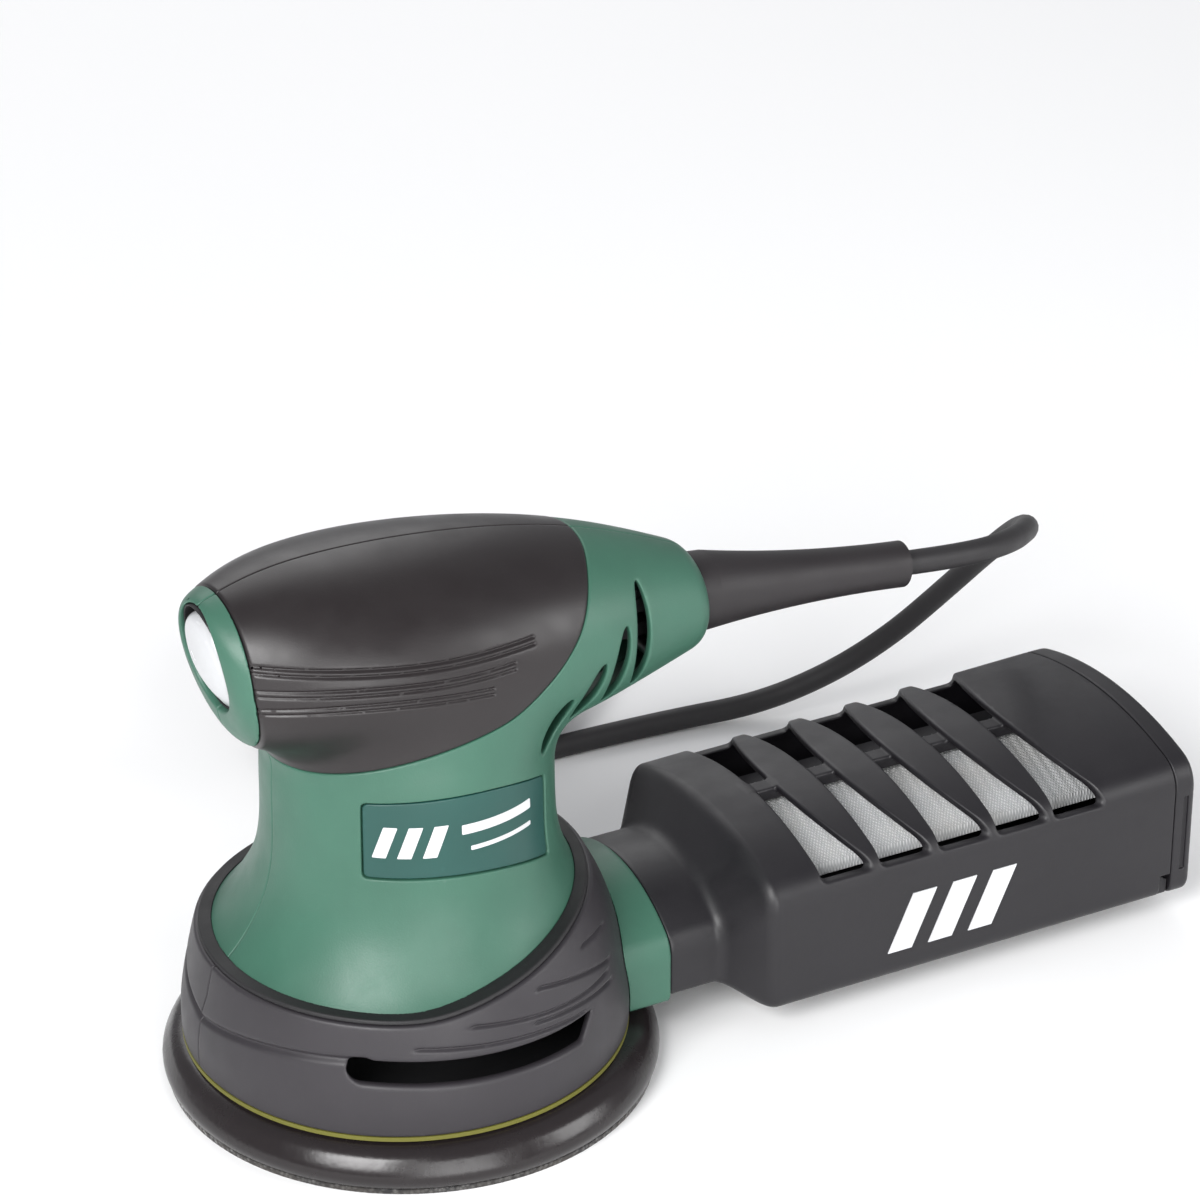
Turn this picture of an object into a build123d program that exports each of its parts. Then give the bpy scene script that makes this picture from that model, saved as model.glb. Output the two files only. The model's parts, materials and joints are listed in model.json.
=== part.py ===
"""Palm-grip random-orbit sander with a round pad, a dust box and its mains lead.

Frame: millimetres, +Z up. The origin lies on the motor axis at the sanding face.
+X points to the dust box, -X to the switch, and -Y is the tool's left side.
"""
from build123d import *
import os
from math import cos, pi, radians, sin, tan

os.makedirs("parts", exist_ok=True)

# ---------------------------------------------------------------- driving dimensions
pad_diameter = 125.0
pad_height = 11.6
orbit_diameter = 2.7
orbit_radius = orbit_diameter / 2
hook_thickness = 1.2

neck_radius = 34.4
form_top = 147.0
grip_thickness = 1.8
wall = 3.2

switch_tilt = 12.0            # lean of the switch face, degrees
rocker_throw = 8.0            # travel of the switch rocker, degrees

skirt_floor = 13.0
skirt_wall = 2.5
skirt_rim = 44.3              # level rim at the front
rim_slope = 0.32              # rise per millimetre towards the dust box
rim_knee = -12.8              # where the rim starts to rise

stator_radius = 30.0
shaft_radius = 4.0
pin_radius = 5.95
bearing_bore = 6.0

collar_end = 60.5
box_front = 84.5
box_rear = 205.0
box_end = 211.5
box_half_width = 38.0
box_floor = 8.0
box_wall = 2.0
slot_pitch = 17.2
slot_count = 5
first_slot = 99.0

cable_diameter = 6.4
cable_radius = cable_diameter / 2
cable_height = 112.0
cable_droop = 6.7             # degrees below level
sleeve_length = 62.0
coil_centre = (80.0, 158.0)
coil_mid_radius = 37.0
coil_layers = 3


def keep(builder, name):
    """Label a finished piece and write its STEP file."""
    builder.part.label = name
    export_step(builder.part, f"parts/{name}.step")


def revolved(points):
    """Solid of revolution about the motor axis from a closed (radius, height) outline."""
    with BuildPart() as solid:
        with BuildSketch(Plane.XZ):
            with BuildLine():
                Polyline(*points, close=True)
            make_face()
        revolve(axis=Axis.Z)
    return solid.part


def ring(outer, inner, low, high, centre=(0, 0)):
    """Flat ring between two heights."""
    with BuildPart() as solid:
        with BuildSketch(Plane.XY.offset(low)):
            with Locations(centre):
                Circle(outer)
                if inner:
                    Circle(inner, mode=Mode.SUBTRACT)
        extrude(amount=high - low)
    return solid.part


def side_prism(points, half_width=90.0):
    """Prism with an outline drawn on the mid-plane as (x, z), run out to both sides."""
    with BuildPart() as solid:
        with BuildSketch(Plane.XZ):
            with BuildLine():
                Polyline(*points, close=True)
            make_face()
        extrude(amount=half_width, both=True)
    return solid.part


def keep_half(solid, name, left):
    """Write the half of a solid on one side of the mid-plane."""
    with BuildPart() as half:
        add(solid)
        split(bisect_by=Plane.XZ, keep=Keep.TOP if left else Keep.BOTTOM)
    keep(half, name)


# ---------------------------------------------------------------- outer form
# palm grip, drawn as upright ellipses: x, top, bottom, half width
handle_sections = (
    (-56, 139.0, 111.0, 12.0),
    (-40, 144.6, 102.0, 24.0),
    (-18, form_top, 96.0, 32.0),
    (8, 145.6, 91.5, 33.0),
    (34, 141.4, 90.0, 28.8),
    (58, 134.2, 94.0, 21.5),
    (80, 124.6, 99.4, 13.6),
)
handle_rear = 80.0
face_point = (-44.9, 0, 126.0)
face_normal = (-cos(radians(switch_tilt)), 0, -sin(radians(switch_tilt)))
face_plane = Plane(origin=face_point, x_dir=(0, 1, 0), z_dir=face_normal)

# round neck that flares to the skirt: radius, height
neck_outline = (
    (49.3, 41.0), (46.6, 43.7), (41.0, 51.0), (37.2, 58.6), (35.0, 68.0),
    (neck_radius, 80.0), (neck_radius, 92.0), (33.6, 103.0), (31.0, 113.0), (22.0, 124.0),
)


def outer_form(inset):
    """The whole hand-held form: palm grip and neck, drawn in by an inset."""
    with BuildPart() as form:
        for x, top, bottom, half_width in handle_sections:
            with BuildSketch(Plane.YZ.offset(x)):
                with Locations((0, (top + bottom) / 2)):
                    Ellipse(half_width - inset, (top - bottom) / 2 - inset)
        loft()
        split(bisect_by=face_plane.offset(-inset), keep=Keep.BOTTOM)
        split(bisect_by=Plane.YZ.offset(handle_rear - inset), keep=Keep.BOTTOM)
        with BuildSketch(Plane.XZ):
            with BuildLine():
                flare = Spline(*[(radius - inset, height) for radius, height in neck_outline])
                Polyline(flare @ 1, (0, neck_outline[-1][1]), (0, neck_outline[0][1]), flare @ 0)
            make_face()
        revolve(axis=Axis.Z)
    return form.part


full_form = outer_form(0)
grip_bed = outer_form(grip_thickness)

# hollow: the handle cavity and a plain bore for the motor
with BuildPart() as cavity:
    add(outer_form(wall + 0.6))
    add(revolved([(0, 40), (45.4, 40), (42.6, 44.2), (37.6, 51.0), (33.4, 58.6),
                  (stator_radius, 60.0), (stator_radius, 98.5), (27.0, 108.0), (0, 108.0)]))

# the soft grip covers everything above this line, short of the switch rim and the rear cap
with BuildPart() as grip_zone:
    with BuildSketch(Plane.XZ):
        with BuildLine():
            lower_edge = Spline((-35.0, 107.5), (-26.0, 104.6), (-12.0, 103.6), (2.0, 105.6),
                                (18.0, 111.0), (30.5, 118.6), (39.0, 129.0), (45.5, 141.0),
                                (47.5, 150.0))
            Polyline(lower_edge @ 1, (-45.6, 150.0), (-37.2, 110.5), lower_edge @ 0)
        make_face()
    extrude(amount=60, both=True)

with BuildPart() as grip_skin:
    add(full_form)
    add(grip_bed, mode=Mode.SUBTRACT)
    add(grip_zone.part, mode=Mode.INTERSECT)

# ---------------------------------------------------------------- openings in the housing
cable_axis = (cos(radians(cable_droop)), 0, -sin(radians(cable_droop)))
cable_plane = Plane(origin=(handle_rear, 0, cable_height), x_dir=(0, 1, 0), z_dir=cable_axis)
sleeve_root_radius = 10.0

switch_hole = (15.4, 16.8)
with BuildPart() as switch_mouth:
    with BuildSketch(face_plane.offset(-12)):
        Ellipse(*switch_hole)
    extrude(amount=20)

with BuildPart() as cable_mouth:
    with BuildSketch(cable_plane.offset(-12)):
        Circle(sleeve_root_radius)
    extrude(amount=20)

# four cooling vents each side: x, height, length, lean in degrees
vents = ((55.5, 114.5, 27.0, 86.0), (48.0, 109.5, 22.0, 78.0), (39.5, 105.5, 17.0, 66.0),
         (29.5, 100.0, 15.0, 56.0))
vent_width = 3.2
with BuildPart() as vent_cuts:
    with BuildSketch(Plane.XZ):
        for x, height, length, lean in vents:
            with Locations(Location((x, height, 0), (0, 0, lean))):
                SlotOverall(length, vent_width)
    extrude(amount=60, both=True)

# label recess, wrapped round the left of the neck
label_span = (-129.0, -48.0)
label_low, label_high = 71.5, 92.0
label_face = neck_radius - 0.4
label_back = label_face - 1.2


def label_band(outer, inner, low, high, margin):
    """Part of a ring that covers the label's angle, widened or narrowed by a margin."""
    start, end = label_span
    with BuildPart() as band:
        with BuildSketch(Plane.XZ):
            with Locations((inner, low)):
                Rectangle(outer - inner, high - low, align=(Align.MIN, Align.MIN))
        revolve(axis=Axis.Z, revolution_arc=end - start + 2 * margin)
    return band.part.rotate(Axis.Z, start - margin)


# housing screws: x, height; they go in from the right
screw_places = ((-34.5, 51.0), (34.5, 51.0), (-10.0, 137.0), (42.0, 132.5), (64.4, 103.4))
screw_radius, screw_head_radius = 1.6, 3.0
screw_seat, screw_depth, screw_head = 11.0, 9.0, 2.2
boss_radius = 4.4


def side_cylinders(radius, start, end):
    """Cylinders along Y at the screw places, from one y to another."""
    with BuildPart() as rods:
        with BuildSketch(Plane.XZ.offset(-end)):
            with Locations(*screw_places):
                Circle(radius)
        extrude(amount=end - start)
    return rods.part


with BuildPart() as bosses:
    add(side_cylinders(boss_radius, -60, 60))
    add(outer_form(1.0), mode=Mode.INTERSECT)

with BuildPart() as housing:
    add(full_form)
    add(cavity.part, mode=Mode.SUBTRACT)
    add(vent_cuts.part, mode=Mode.SUBTRACT)
    add(bosses.part)
    add(grip_zone.part.intersect(full_form - grip_bed), mode=Mode.SUBTRACT)
    add(switch_mouth.part, mode=Mode.SUBTRACT)
    add(cable_mouth.part, mode=Mode.SUBTRACT)
    add(label_band(60, label_back, label_low, label_high, 0), mode=Mode.SUBTRACT)
    add(side_cylinders(screw_radius, -screw_depth, screw_seat), mode=Mode.SUBTRACT)
    add(side_cylinders(screw_head_radius, screw_seat, 60), mode=Mode.SUBTRACT)

keep_half(housing.part, "housing_left", True)
keep_half(housing.part, "housing_right", False)

with BuildPart() as grip_shell:
    add(grip_skin.part)
    add(side_cylinders(screw_head_radius, screw_seat, 60), mode=Mode.SUBTRACT)
keep_half(grip_shell.part, "grip_left", True)
keep_half(grip_shell.part, "grip_right", False)

with BuildPart() as label_plate:
    add(label_band(label_face, label_back, label_low, label_high, 0))
keep(label_plate, "label_plate")

with BuildPart() as housing_screws:
    add(side_cylinders(screw_radius, -screw_depth, screw_seat))
    add(side_cylinders(screw_head_radius, screw_seat, screw_seat + screw_head))
keep(housing_screws, "housing_screws")

# ---------------------------------------------------------------- skirt round the pad
skirt_outline = (
    (56.0, skirt_floor), (56.0, 20.0), (54.9, 28.0), (53.4, 35.5), (51.5, 43.0), (48.7, 50.0),
    (45.6, 56.0), (43.0, 62.0), (41.6, 67.0),
)


def skirt_body(inset):
    """Flared skirt of revolution, drawn in by an inset."""
    with BuildPart() as body:
        with BuildSketch(Plane.XZ):
            with BuildLine():
                flank = Spline(*[(radius - inset, height) for radius, height in skirt_outline])
                Polyline(flank @ 1, (0, skirt_outline[-1][1]), (0, skirt_floor), flank @ 0)
            make_face()
        revolve(axis=Axis.Z)
    return body.part


def rim_prism(drop):
    """Everything below the skirt's rim line, lowered by a drop."""
    reach = 75.0
    return side_prism([(-reach, 0), (-reach, skirt_rim - drop), (rim_knee, skirt_rim - drop),
                       (reach, skirt_rim + rim_slope * (reach - rim_knee) - drop), (reach, 0)])


def arch(plane, half_width, floor, shoulder, crown):
    """Sketch of a flat-bottomed arch, the section of the dust outlet."""
    with BuildSketch(plane) as section:
        with BuildLine():
            Polyline((-half_width, shoulder), (-half_width, floor), (half_width, floor),
                     (half_width, shoulder))
            ThreePointArc((half_width, shoulder), (0, crown), (-half_width, shoulder))
        make_face()
    return section.sketch


with BuildPart() as outlet_hole:
    extrude(arch(Plane.YZ.offset(30), 25.8, 16.0, 29.0, 38.9), amount=40)

# exhaust slots, one each side
with BuildPart() as exhaust_slots:
    with BuildSketch(Plane.XZ):
        with BuildLine():
            Polyline((-32.0, 34.2), (29.0, 31.7), (24.0, 25.3), (-32.0, 27.5))
            ThreePointArc((-32.0, 27.5), (-35.2, 30.8), (-32.0, 34.2))
        make_face()
    extrude(amount=70, both=True)
    add(ring(50.0, 0, 20, 40), mode=Mode.SUBTRACT)

with BuildPart() as skirt:
    add(skirt_body(0))
    add(skirt_body(skirt_wall), mode=Mode.SUBTRACT)
    add(rim_prism(0), mode=Mode.INTERSECT)
    add(outlet_hole.part, mode=Mode.SUBTRACT)
    add(exhaust_slots.part, mode=Mode.SUBTRACT)
keep_half(skirt.part, "skirt_left", True)
keep_half(skirt.part, "skirt_right", False)

# dark seal between the skirt's rim and the flared housing
with BuildPart() as rim_seal:
    add(skirt_body(skirt_wall))
    add(rim_prism(1.6), mode=Mode.INTERSECT)
    add(rim_prism(6.0), mode=Mode.SUBTRACT)
    add(full_form, mode=Mode.SUBTRACT)
    add(ring(70, 0, 0, 41.0), mode=Mode.SUBTRACT)
    add(outlet_hole.part, mode=Mode.SUBTRACT)
keep(rim_seal, "rim_seal")

with BuildPart() as brake_ring:
    add(ring(56.0, 51.0, 11.9, skirt_floor))
keep(brake_ring, "brake_ring")

with BuildPart() as chamber_floor:
    add(ring(53.5, 24.0, skirt_floor, 15.0))
keep(chamber_floor, "chamber_floor")

with BuildPart() as outlet_collar:
    extrude(arch(Plane.YZ.offset(36), 28.5, 13.3, 30.0, 41.5), amount=collar_end - 36)
    extrude(arch(Plane.YZ.offset(36), 25.8, 16.0, 29.0, 38.9), amount=collar_end - 36,
            mode=Mode.SUBTRACT)
    add(skirt_body(0), mode=Mode.SUBTRACT)
keep(outlet_collar, "outlet_collar")

# ---------------------------------------------------------------- switch
rest_tilt = radians(switch_tilt + rocker_throw / 2)
pivot_depth = 4.0
pivot = (face_point[0] - pivot_depth * face_normal[0], 0,
         face_point[2] - pivot_depth * face_normal[2])
rocker_plane = Plane(origin=pivot, x_dir=(0, 1, 0), z_dir=(-cos(rest_tilt), 0, -sin(rest_tilt)))
rocker_size = (12.8, 14.0)
seal_hole = (13.9, 15.1)
dome_radius = 30.0
dome_height = pivot_depth + 4.4

with BuildPart() as switch_seal:
    with BuildSketch(face_plane.offset(-3.0)):
        Ellipse(*switch_hole)
        Ellipse(*seal_hole, mode=Mode.SUBTRACT)
    extrude(amount=3.8)
keep(switch_seal, "switch_seal")

with BuildPart() as switch_rocker:
    with BuildSketch(rocker_plane.offset(pivot_depth - 2.5)):
        Ellipse(*rocker_size)
    extrude(amount=10)
    with Locations(rocker_plane.offset(dome_height - dome_radius)):
        Sphere(dome_radius, mode=Mode.INTERSECT)
    with BuildSketch(rocker_plane.offset(-1.5)):
        Circle(2.2)
    extrude(amount=4)
keep(switch_rocker, "switch_rocker")

with BuildPart() as switch_body:
    with Locations((-29.5, 0, 124.5)):
        Box(15, 20, 20)
    fillet(switch_body.edges().filter_by(Axis.Y), 1.0)
keep(switch_body, "switch_body")

with BuildPart() as switch_tabs:
    for y in (-6, 0, 6):
        with Locations((-19.5, y, 124.5)):
            Box(5, 0.8, 6)
keep(switch_tabs, "switch_tabs")

with BuildPart() as capacitor:
    with Locations((28, 0, 122)):
        Box(16, 7, 12)
    fillet(capacitor.edges(), 0.8)
keep(capacitor, "capacitor")

# ---------------------------------------------------------------- motor, fixed parts
with BuildPart() as motor_baffle:
    add(ring(48.6, 10.0, 39.0, 41.0))
    add(ring(16.0, 13.0, 41.0, 52.0))
keep(motor_baffle, "motor_baffle")


def ball_bearing(name, outer, bore, low, high, centre=(0, 0)):
    """Outer race, inner race and the shield between them, as separate solids in one node."""
    land = (outer - bore) * 0.3
    with BuildPart() as bearing:
        add(ring(outer, outer - land, low, high, centre))
        add(ring(bore + land, bore, low, high, centre))
        add(ring(outer - land - 0.05, bore + land + 0.05, low + 1, high - 1, centre))
    keep(bearing, name)


ball_bearing("lower_bearing", 13.0, 5.05, 43.5, 51.5)
ball_bearing("upper_bearing", 9.5, shaft_radius + 0.05, 114.5, 120.5)

with BuildPart() as bearing_cup:
    add(ring(12.0, 9.5, 114.5, 120.5))
    add(ring(12.0, 0, 120.5, 124.5))
    add(ring(8.0, 0, 120.5, 123.0), mode=Mode.SUBTRACT)
keep(bearing_cup, "bearing_cup")

# two-pole field core: a ring bored for the armature, with pockets for the coils
armature_bore = 19.0
coil_place = 22.8
with BuildPart() as stator_core:
    add(ring(stator_radius, armature_bore, 62.0, 96.0))
    with Locations((0, coil_place, 79.0), (0, -coil_place, 79.0)):
        Box(28, 5.6, 40, mode=Mode.SUBTRACT)
keep(stator_core, "stator_core")

with BuildPart() as field_coils:
    for side in (-1, 1):
        with Locations((0, side * coil_place, 79.0)):
            Box(27.6, 5.2, 42)
keep(field_coils, "field_coils")

brush_height = 105.0
commutator_radius = 10.0
with BuildPart() as brush_holders:
    with Locations((0, 18.5, brush_height), (0, -18.5, brush_height)):
        Box(9, 13, 8)
        Box(6, 13, 5, mode=Mode.SUBTRACT)
keep(brush_holders, "brush_holders")

with BuildPart() as carbon_brushes:
    with Locations((0, 14.8, brush_height), (0, -14.8, brush_height)):
        Box(5.9, 9.0, 4.9)
keep(carbon_brushes, "carbon_brushes")

with BuildPart() as brush_springs:
    with BuildSketch(Plane.XZ.offset(-25)):
        with Locations((0, brush_height)):
            Circle(2.0)
            Circle(1.3, mode=Mode.SUBTRACT)
    extrude(amount=5.6)
    mirror(about=Plane.XZ)
keep(brush_springs, "brush_springs")

# ---------------------------------------------------------------- motor, turning parts
pin_centre = (orbit_radius, 0)
with BuildPart() as motor_shaft:
    add(ring(5.0, 0, 30.0, 54.0))
    add(ring(shaft_radius, 0, 54.0, 122.0))
keep(motor_shaft, "motor_shaft")

# eccentric: pin for the pad bearing, and a half-disc that balances the orbiting pad
with BuildPart() as eccentric_weight:
    add(ring(pin_radius, 0, 12.7, 21.0, pin_centre))
    add(ring(10.0, 0, 21.0, 30.0))
    with BuildSketch(Plane.XY.offset(21.5)):
        Circle(26.0)
        with Locations((20.0, 0)):
            Rectangle(40.0, 60.0, mode=Mode.SUBTRACT)
    extrude(amount=7.5)
keep(eccentric_weight, "eccentric_weight")

with BuildPart() as pin_screw:
    add(ring(7.2, 0, 11.9, 12.7, pin_centre))
    add(ring(4.5, 0, 8.6, 11.9, pin_centre))
    with BuildSketch(Plane.XY.offset(8.6)):
        with Locations(pin_centre):
            RegularPolygon(2.4, 6)
    extrude(amount=2.4, mode=Mode.SUBTRACT)
keep(pin_screw, "pin_screw")

fan_radius = 43.0
blade_count = 12
with BuildPart() as fan:
    add(ring(fan_radius, 5.0, 31.0, 32.4))
    add(ring(9.0, 5.0, 32.4, 37.8))
    with BuildSketch(Plane.XY.offset(32.4)):
        with PolarLocations(27.0, blade_count):
            Rectangle(30.0, 1.4, rotation=22)
    extrude(amount=5.4)
    add(ring(60.0, fan_radius, 30.0, 39.0), mode=Mode.SUBTRACT)
keep(fan, "fan")

with BuildPart() as armature_core:
    add(ring(18.4, shaft_radius, 62.0, 96.0))
    with BuildSketch(Plane.XY.offset(62.0)):
        with PolarLocations(17.4, 12):
            Rectangle(3.0, 1.6)
    extrude(amount=34.0, mode=Mode.SUBTRACT)
keep(armature_core, "armature_core")

with BuildPart() as armature_windings:
    for low in (55.0, 96.0):
        add(ring(15.5, shaft_radius + 1.2, low, low + (7.0 if low < 60 else 2.6)))
keep(armature_windings, "armature_windings")

with BuildPart() as commutator:
    add(ring(commutator_radius, shaft_radius, 98.8, 112.0))
keep(commutator, "commutator")

# ---------------------------------------------------------------- sanding pad
pad_radius = pad_diameter / 2
dust_hole_circle, dust_hole_radius, dust_hole_count = 65.0, 5.0, 8
fix_circle, fix_count = 26.0, 4
plate_radius, plate_low = 48.0, 6.6

with BuildPart() as dust_holes:
    with BuildSketch():
        with Locations(pin_centre):
            with PolarLocations(dust_hole_circle / 2, dust_hole_count):
                Circle(dust_hole_radius)
    extrude(amount=20)


def fix_rods(radius, low, high):
    """Rods at the four pad screws."""
    with BuildPart() as rods:
        with BuildSketch(Plane.XY.offset(low)):
            with Locations(pin_centre):
                with PolarLocations(fix_circle / 2, fix_count, start_angle=45):
                    Circle(radius)
        extrude(amount=high - low)
    return rods.part


fix_head_radius = 3.6
pad_axis = Axis((orbit_radius, 0, 0), (0, 0, 1))
with BuildPart() as pad_cushion:
    with BuildSketch(Plane.XZ.move(Location((orbit_radius, 0, 0)))):
        with BuildLine():
            flank = Spline((61.4, hook_thickness), (pad_radius, 4.0), (61.0, 8.0),
                           (57.6, 10.8), (55.4, pad_height))
            Polyline(flank @ 1, (0, pad_height), (0, hook_thickness), flank @ 0)
        make_face()
    revolve(axis=pad_axis)
    add(ring(plate_radius, 0, plate_low, pad_height, pin_centre), mode=Mode.SUBTRACT)
    add(dust_holes.part, mode=Mode.SUBTRACT)
    add(fix_rods(fix_head_radius + 0.6, 0, plate_low), mode=Mode.SUBTRACT)
keep(pad_cushion, "pad_cushion")

with BuildPart() as hook_face:
    add(ring(61.4, 0, 0, hook_thickness, pin_centre))
    add(dust_holes.part, mode=Mode.SUBTRACT)
    add(fix_rods(fix_head_radius + 0.6, 0, hook_thickness), mode=Mode.SUBTRACT)
keep(hook_face, "hook_face")

with BuildPart() as pad_plate:
    add(ring(plate_radius, 8.4, plate_low, pad_height, pin_centre))
    add(dust_holes.part, mode=Mode.SUBTRACT)
    add(fix_rods(2.0, plate_low, pad_height), mode=Mode.SUBTRACT)
    add(fix_rods(fix_head_radius, plate_low, plate_low + 2.2), mode=Mode.SUBTRACT)
keep(pad_plate, "pad_plate")

with BuildPart() as pad_hub:
    add(ring(19.0, 8.4, pad_height, 12.7, pin_centre))
    add(ring(17.0, 14.0, 12.7, 20.6, pin_centre))
    add(fix_rods(2.0, pad_height, 20.6), mode=Mode.SUBTRACT)
keep(pad_hub, "pad_hub")

ball_bearing("pad_bearing", 14.0, bearing_bore, 12.7, 20.6, pin_centre)

with BuildPart() as pad_screws:
    add(fix_rods(2.0, plate_low + 2.2, 12.7))
    add(fix_rods(fix_head_radius, plate_low, plate_low + 2.2))
    add(fix_rods(1.2, plate_low, plate_low + 1.2), mode=Mode.SUBTRACT)
keep(pad_screws, "pad_screws")

# ---------------------------------------------------------------- dust box and filter
neck_section = (27.4, 14.2, 29.6, 40.6)
spigot_section = (25.3, 16.5, 28.8, 38.3)
spigot_start = 54.0
web = 2.0
front_section = (box_half_width, box_floor, 42.5, 50.6)
rear_section = (box_half_width, box_floor, 45.5, 52.6)
neck_start = collar_end + 0.2
neck_end = 75.0
slot_floor = 41.5
slot_reach = box_half_width + 1


def narrowed(section, inset):
    """An arch section drawn in by an inset on every side."""
    half_width, floor, shoulder, crown = section
    return (half_width - inset, floor + inset, shoulder, crown - inset)


def box_form(inset):
    """Outer form of the dust box with its neck, drawn in by an inset."""
    with BuildPart() as form:
        extrude(arch(Plane.YZ.offset(neck_start), *narrowed(neck_section, inset)),
                amount=neck_end - neck_start)
        loft(sections=[arch(Plane.YZ.offset(neck_end), *narrowed(neck_section, inset)),
                       arch(Plane.YZ.offset(box_front), *narrowed(front_section, inset))])
        loft(sections=[arch(Plane.YZ.offset(box_front), *narrowed(front_section, inset)),
                       arch(Plane.YZ.offset(box_rear), *narrowed(rear_section, inset))])
    return form.part


# plan of one slot: straight in front, bowed at the back so that the blade between is widest mid-way
with BuildPart() as box_slots:
    with BuildSketch(Plane.XY.offset(slot_floor)):
        for number in range(slot_count):
            start = first_slot + number * slot_pitch
            with BuildLine():
                ThreePointArc((start + 16.0, -slot_reach), (start + 6.0, 0), (start + 16.0, slot_reach))
                Polyline((start + 16.0, slot_reach), (start, slot_reach), (start, -slot_reach),
                         (start + 16.0, -slot_reach))
            make_face()
    extrude(amount=20)

with BuildPart() as dust_box:
    add(box_form(0))
    add(box_form(box_wall), mode=Mode.SUBTRACT)
    add(box_slots.part, mode=Mode.SUBTRACT)
    with BuildSketch(Plane.YZ.offset(first_slot - 2)):
        with Locations((0, 48.6)):
            Rectangle(5.0, 3.6)
    extrude(amount=slot_count * slot_pitch + 4)
    extrude(arch(Plane.YZ.offset(neck_start), *neck_section), amount=web)
    extrude(arch(Plane.YZ.offset(spigot_start), *spigot_section), amount=neck_start - spigot_start)
    extrude(arch(Plane.YZ.offset(spigot_start), *narrowed(spigot_section, box_wall)),
            amount=neck_start - spigot_start + web, mode=Mode.SUBTRACT)
keep(dust_box, "dust_box")

# plain stripes in place of any lettering
with BuildPart() as side_stripes:
    with BuildSketch(Plane.XZ.offset(box_half_width)):
        for start in (118.0, 130.0, 142.0):
            with BuildLine():
                Polyline((start, 16.0), (start + 7, 16.0), (start + 14, 32.0), (start + 7, 32.0),
                         close=True)
            make_face()
    extrude(amount=0.3)
keep(side_stripes, "side_stripes")

# rear cover, with a lip that plugs the box and a clip tab on each side
lip_section = narrowed(rear_section, box_wall + 0.7)
with BuildPart() as box_cover:
    extrude(arch(Plane.YZ.offset(box_rear + 0.1), *rear_section), amount=box_end - box_rear - 0.1)
    extrude(arch(Plane.YZ.offset(box_rear - 5), *lip_section), amount=5.1)
    extrude(arch(Plane.YZ.offset(box_rear - 5), *narrowed(lip_section, 2.0)), amount=8.0,
            mode=Mode.SUBTRACT)
    for side in (-1, 1):
        with Locations((box_end - 2.2, side * (box_half_width + 0.5), 26.5)):
            Box(4.0, 1.6, 21.0)
keep(box_cover, "box_cover")

rail_height = 31.0
filter_front, filter_rear = 93.0, box_rear - 5.0
with BuildPart() as filter_frame:
    with BuildSketch(Plane.XY.offset(rail_height)):
        with Locations(((filter_front + filter_rear) / 2, 0)):
            Rectangle(filter_rear - filter_front, 62.0)
            Rectangle(filter_rear - filter_front - 6.0, 50.0, mode=Mode.SUBTRACT)
    extrude(amount=3.0)
keep(filter_frame, "filter_frame")

roof_base = rail_height + 3.0
with BuildPart() as filter_paper:
    with BuildSketch(Plane.YZ.offset(filter_front + 1)):
        with BuildLine():
            Polyline((-27.0, roof_base), (-25.0, roof_base + 2), (0, 45.5), (25.0, roof_base + 2),
                     (27.0, roof_base), close=True)
        make_face()
        with BuildLine():
            Polyline((-23.0, roof_base), (0, 42.0), (23.0, roof_base), close=True)
        make_face(mode=Mode.SUBTRACT)
    extrude(amount=filter_rear - filter_front - 2)
keep(filter_paper, "filter_paper")

# ---------------------------------------------------------------- cable entry
sleeve_tip_radius = 6.0
with BuildPart() as bend_sleeve:
    with BuildSketch(cable_plane.offset(-10.0)):
        Circle(10.8)
    extrude(amount=3.0)
    with BuildSketch(cable_plane.offset(-7.0)):
        Circle(sleeve_root_radius)
    extrude(amount=11.0)
    with BuildSketch(cable_plane.offset(4.0)):
        Circle(sleeve_root_radius)
    with BuildSketch(cable_plane.offset(22.0)):
        Circle(7.8)
    with BuildSketch(cable_plane.offset(sleeve_length)):
        Circle(sleeve_tip_radius)
    loft()
    with BuildSketch(cable_plane.offset(-11.0)):
        Circle(cable_radius)
    extrude(amount=sleeve_length + 12, mode=Mode.SUBTRACT)
keep(bend_sleeve, "bend_sleeve")

with BuildPart() as cable_end:
    with BuildSketch(cable_plane.offset(-27.0)):
        Circle(cable_radius)
    extrude(amount=sleeve_length + 27.0)
keep(cable_end, "cable_end")

clamp_x, clamp_y = 60.0, 7.0
clamp_height = cable_height + 20.0 * tan(radians(cable_droop))
with BuildPart() as cable_clamp:
    with Locations((clamp_x, 0, clamp_height + 3.1)):
        Box(8.0, 20.0, 3.6)
    with Locations((clamp_x, 0, clamp_height - 3.4)):
        Box(8.0, 20.0, 3.6)
    with BuildSketch(cable_plane.offset(-27.0)):
        Circle(cable_radius)
    extrude(amount=20, mode=Mode.SUBTRACT)
    with Locations((clamp_x, clamp_y, clamp_height), (clamp_x, -clamp_y, clamp_height)):
        Cylinder(1.3, 30, mode=Mode.SUBTRACT)
keep(cable_clamp, "cable_clamp")

with BuildPart() as clamp_screws:
    with Locations((clamp_x, clamp_y, clamp_height), (clamp_x, -clamp_y, clamp_height)):
        Cylinder(1.3, 9.8)
    with Locations((clamp_x, clamp_y, clamp_height + 6.0), (clamp_x, -clamp_y, clamp_height + 6.0)):
        Cylinder(2.3, 2.2)
keep(clamp_screws, "clamp_screws")

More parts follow.
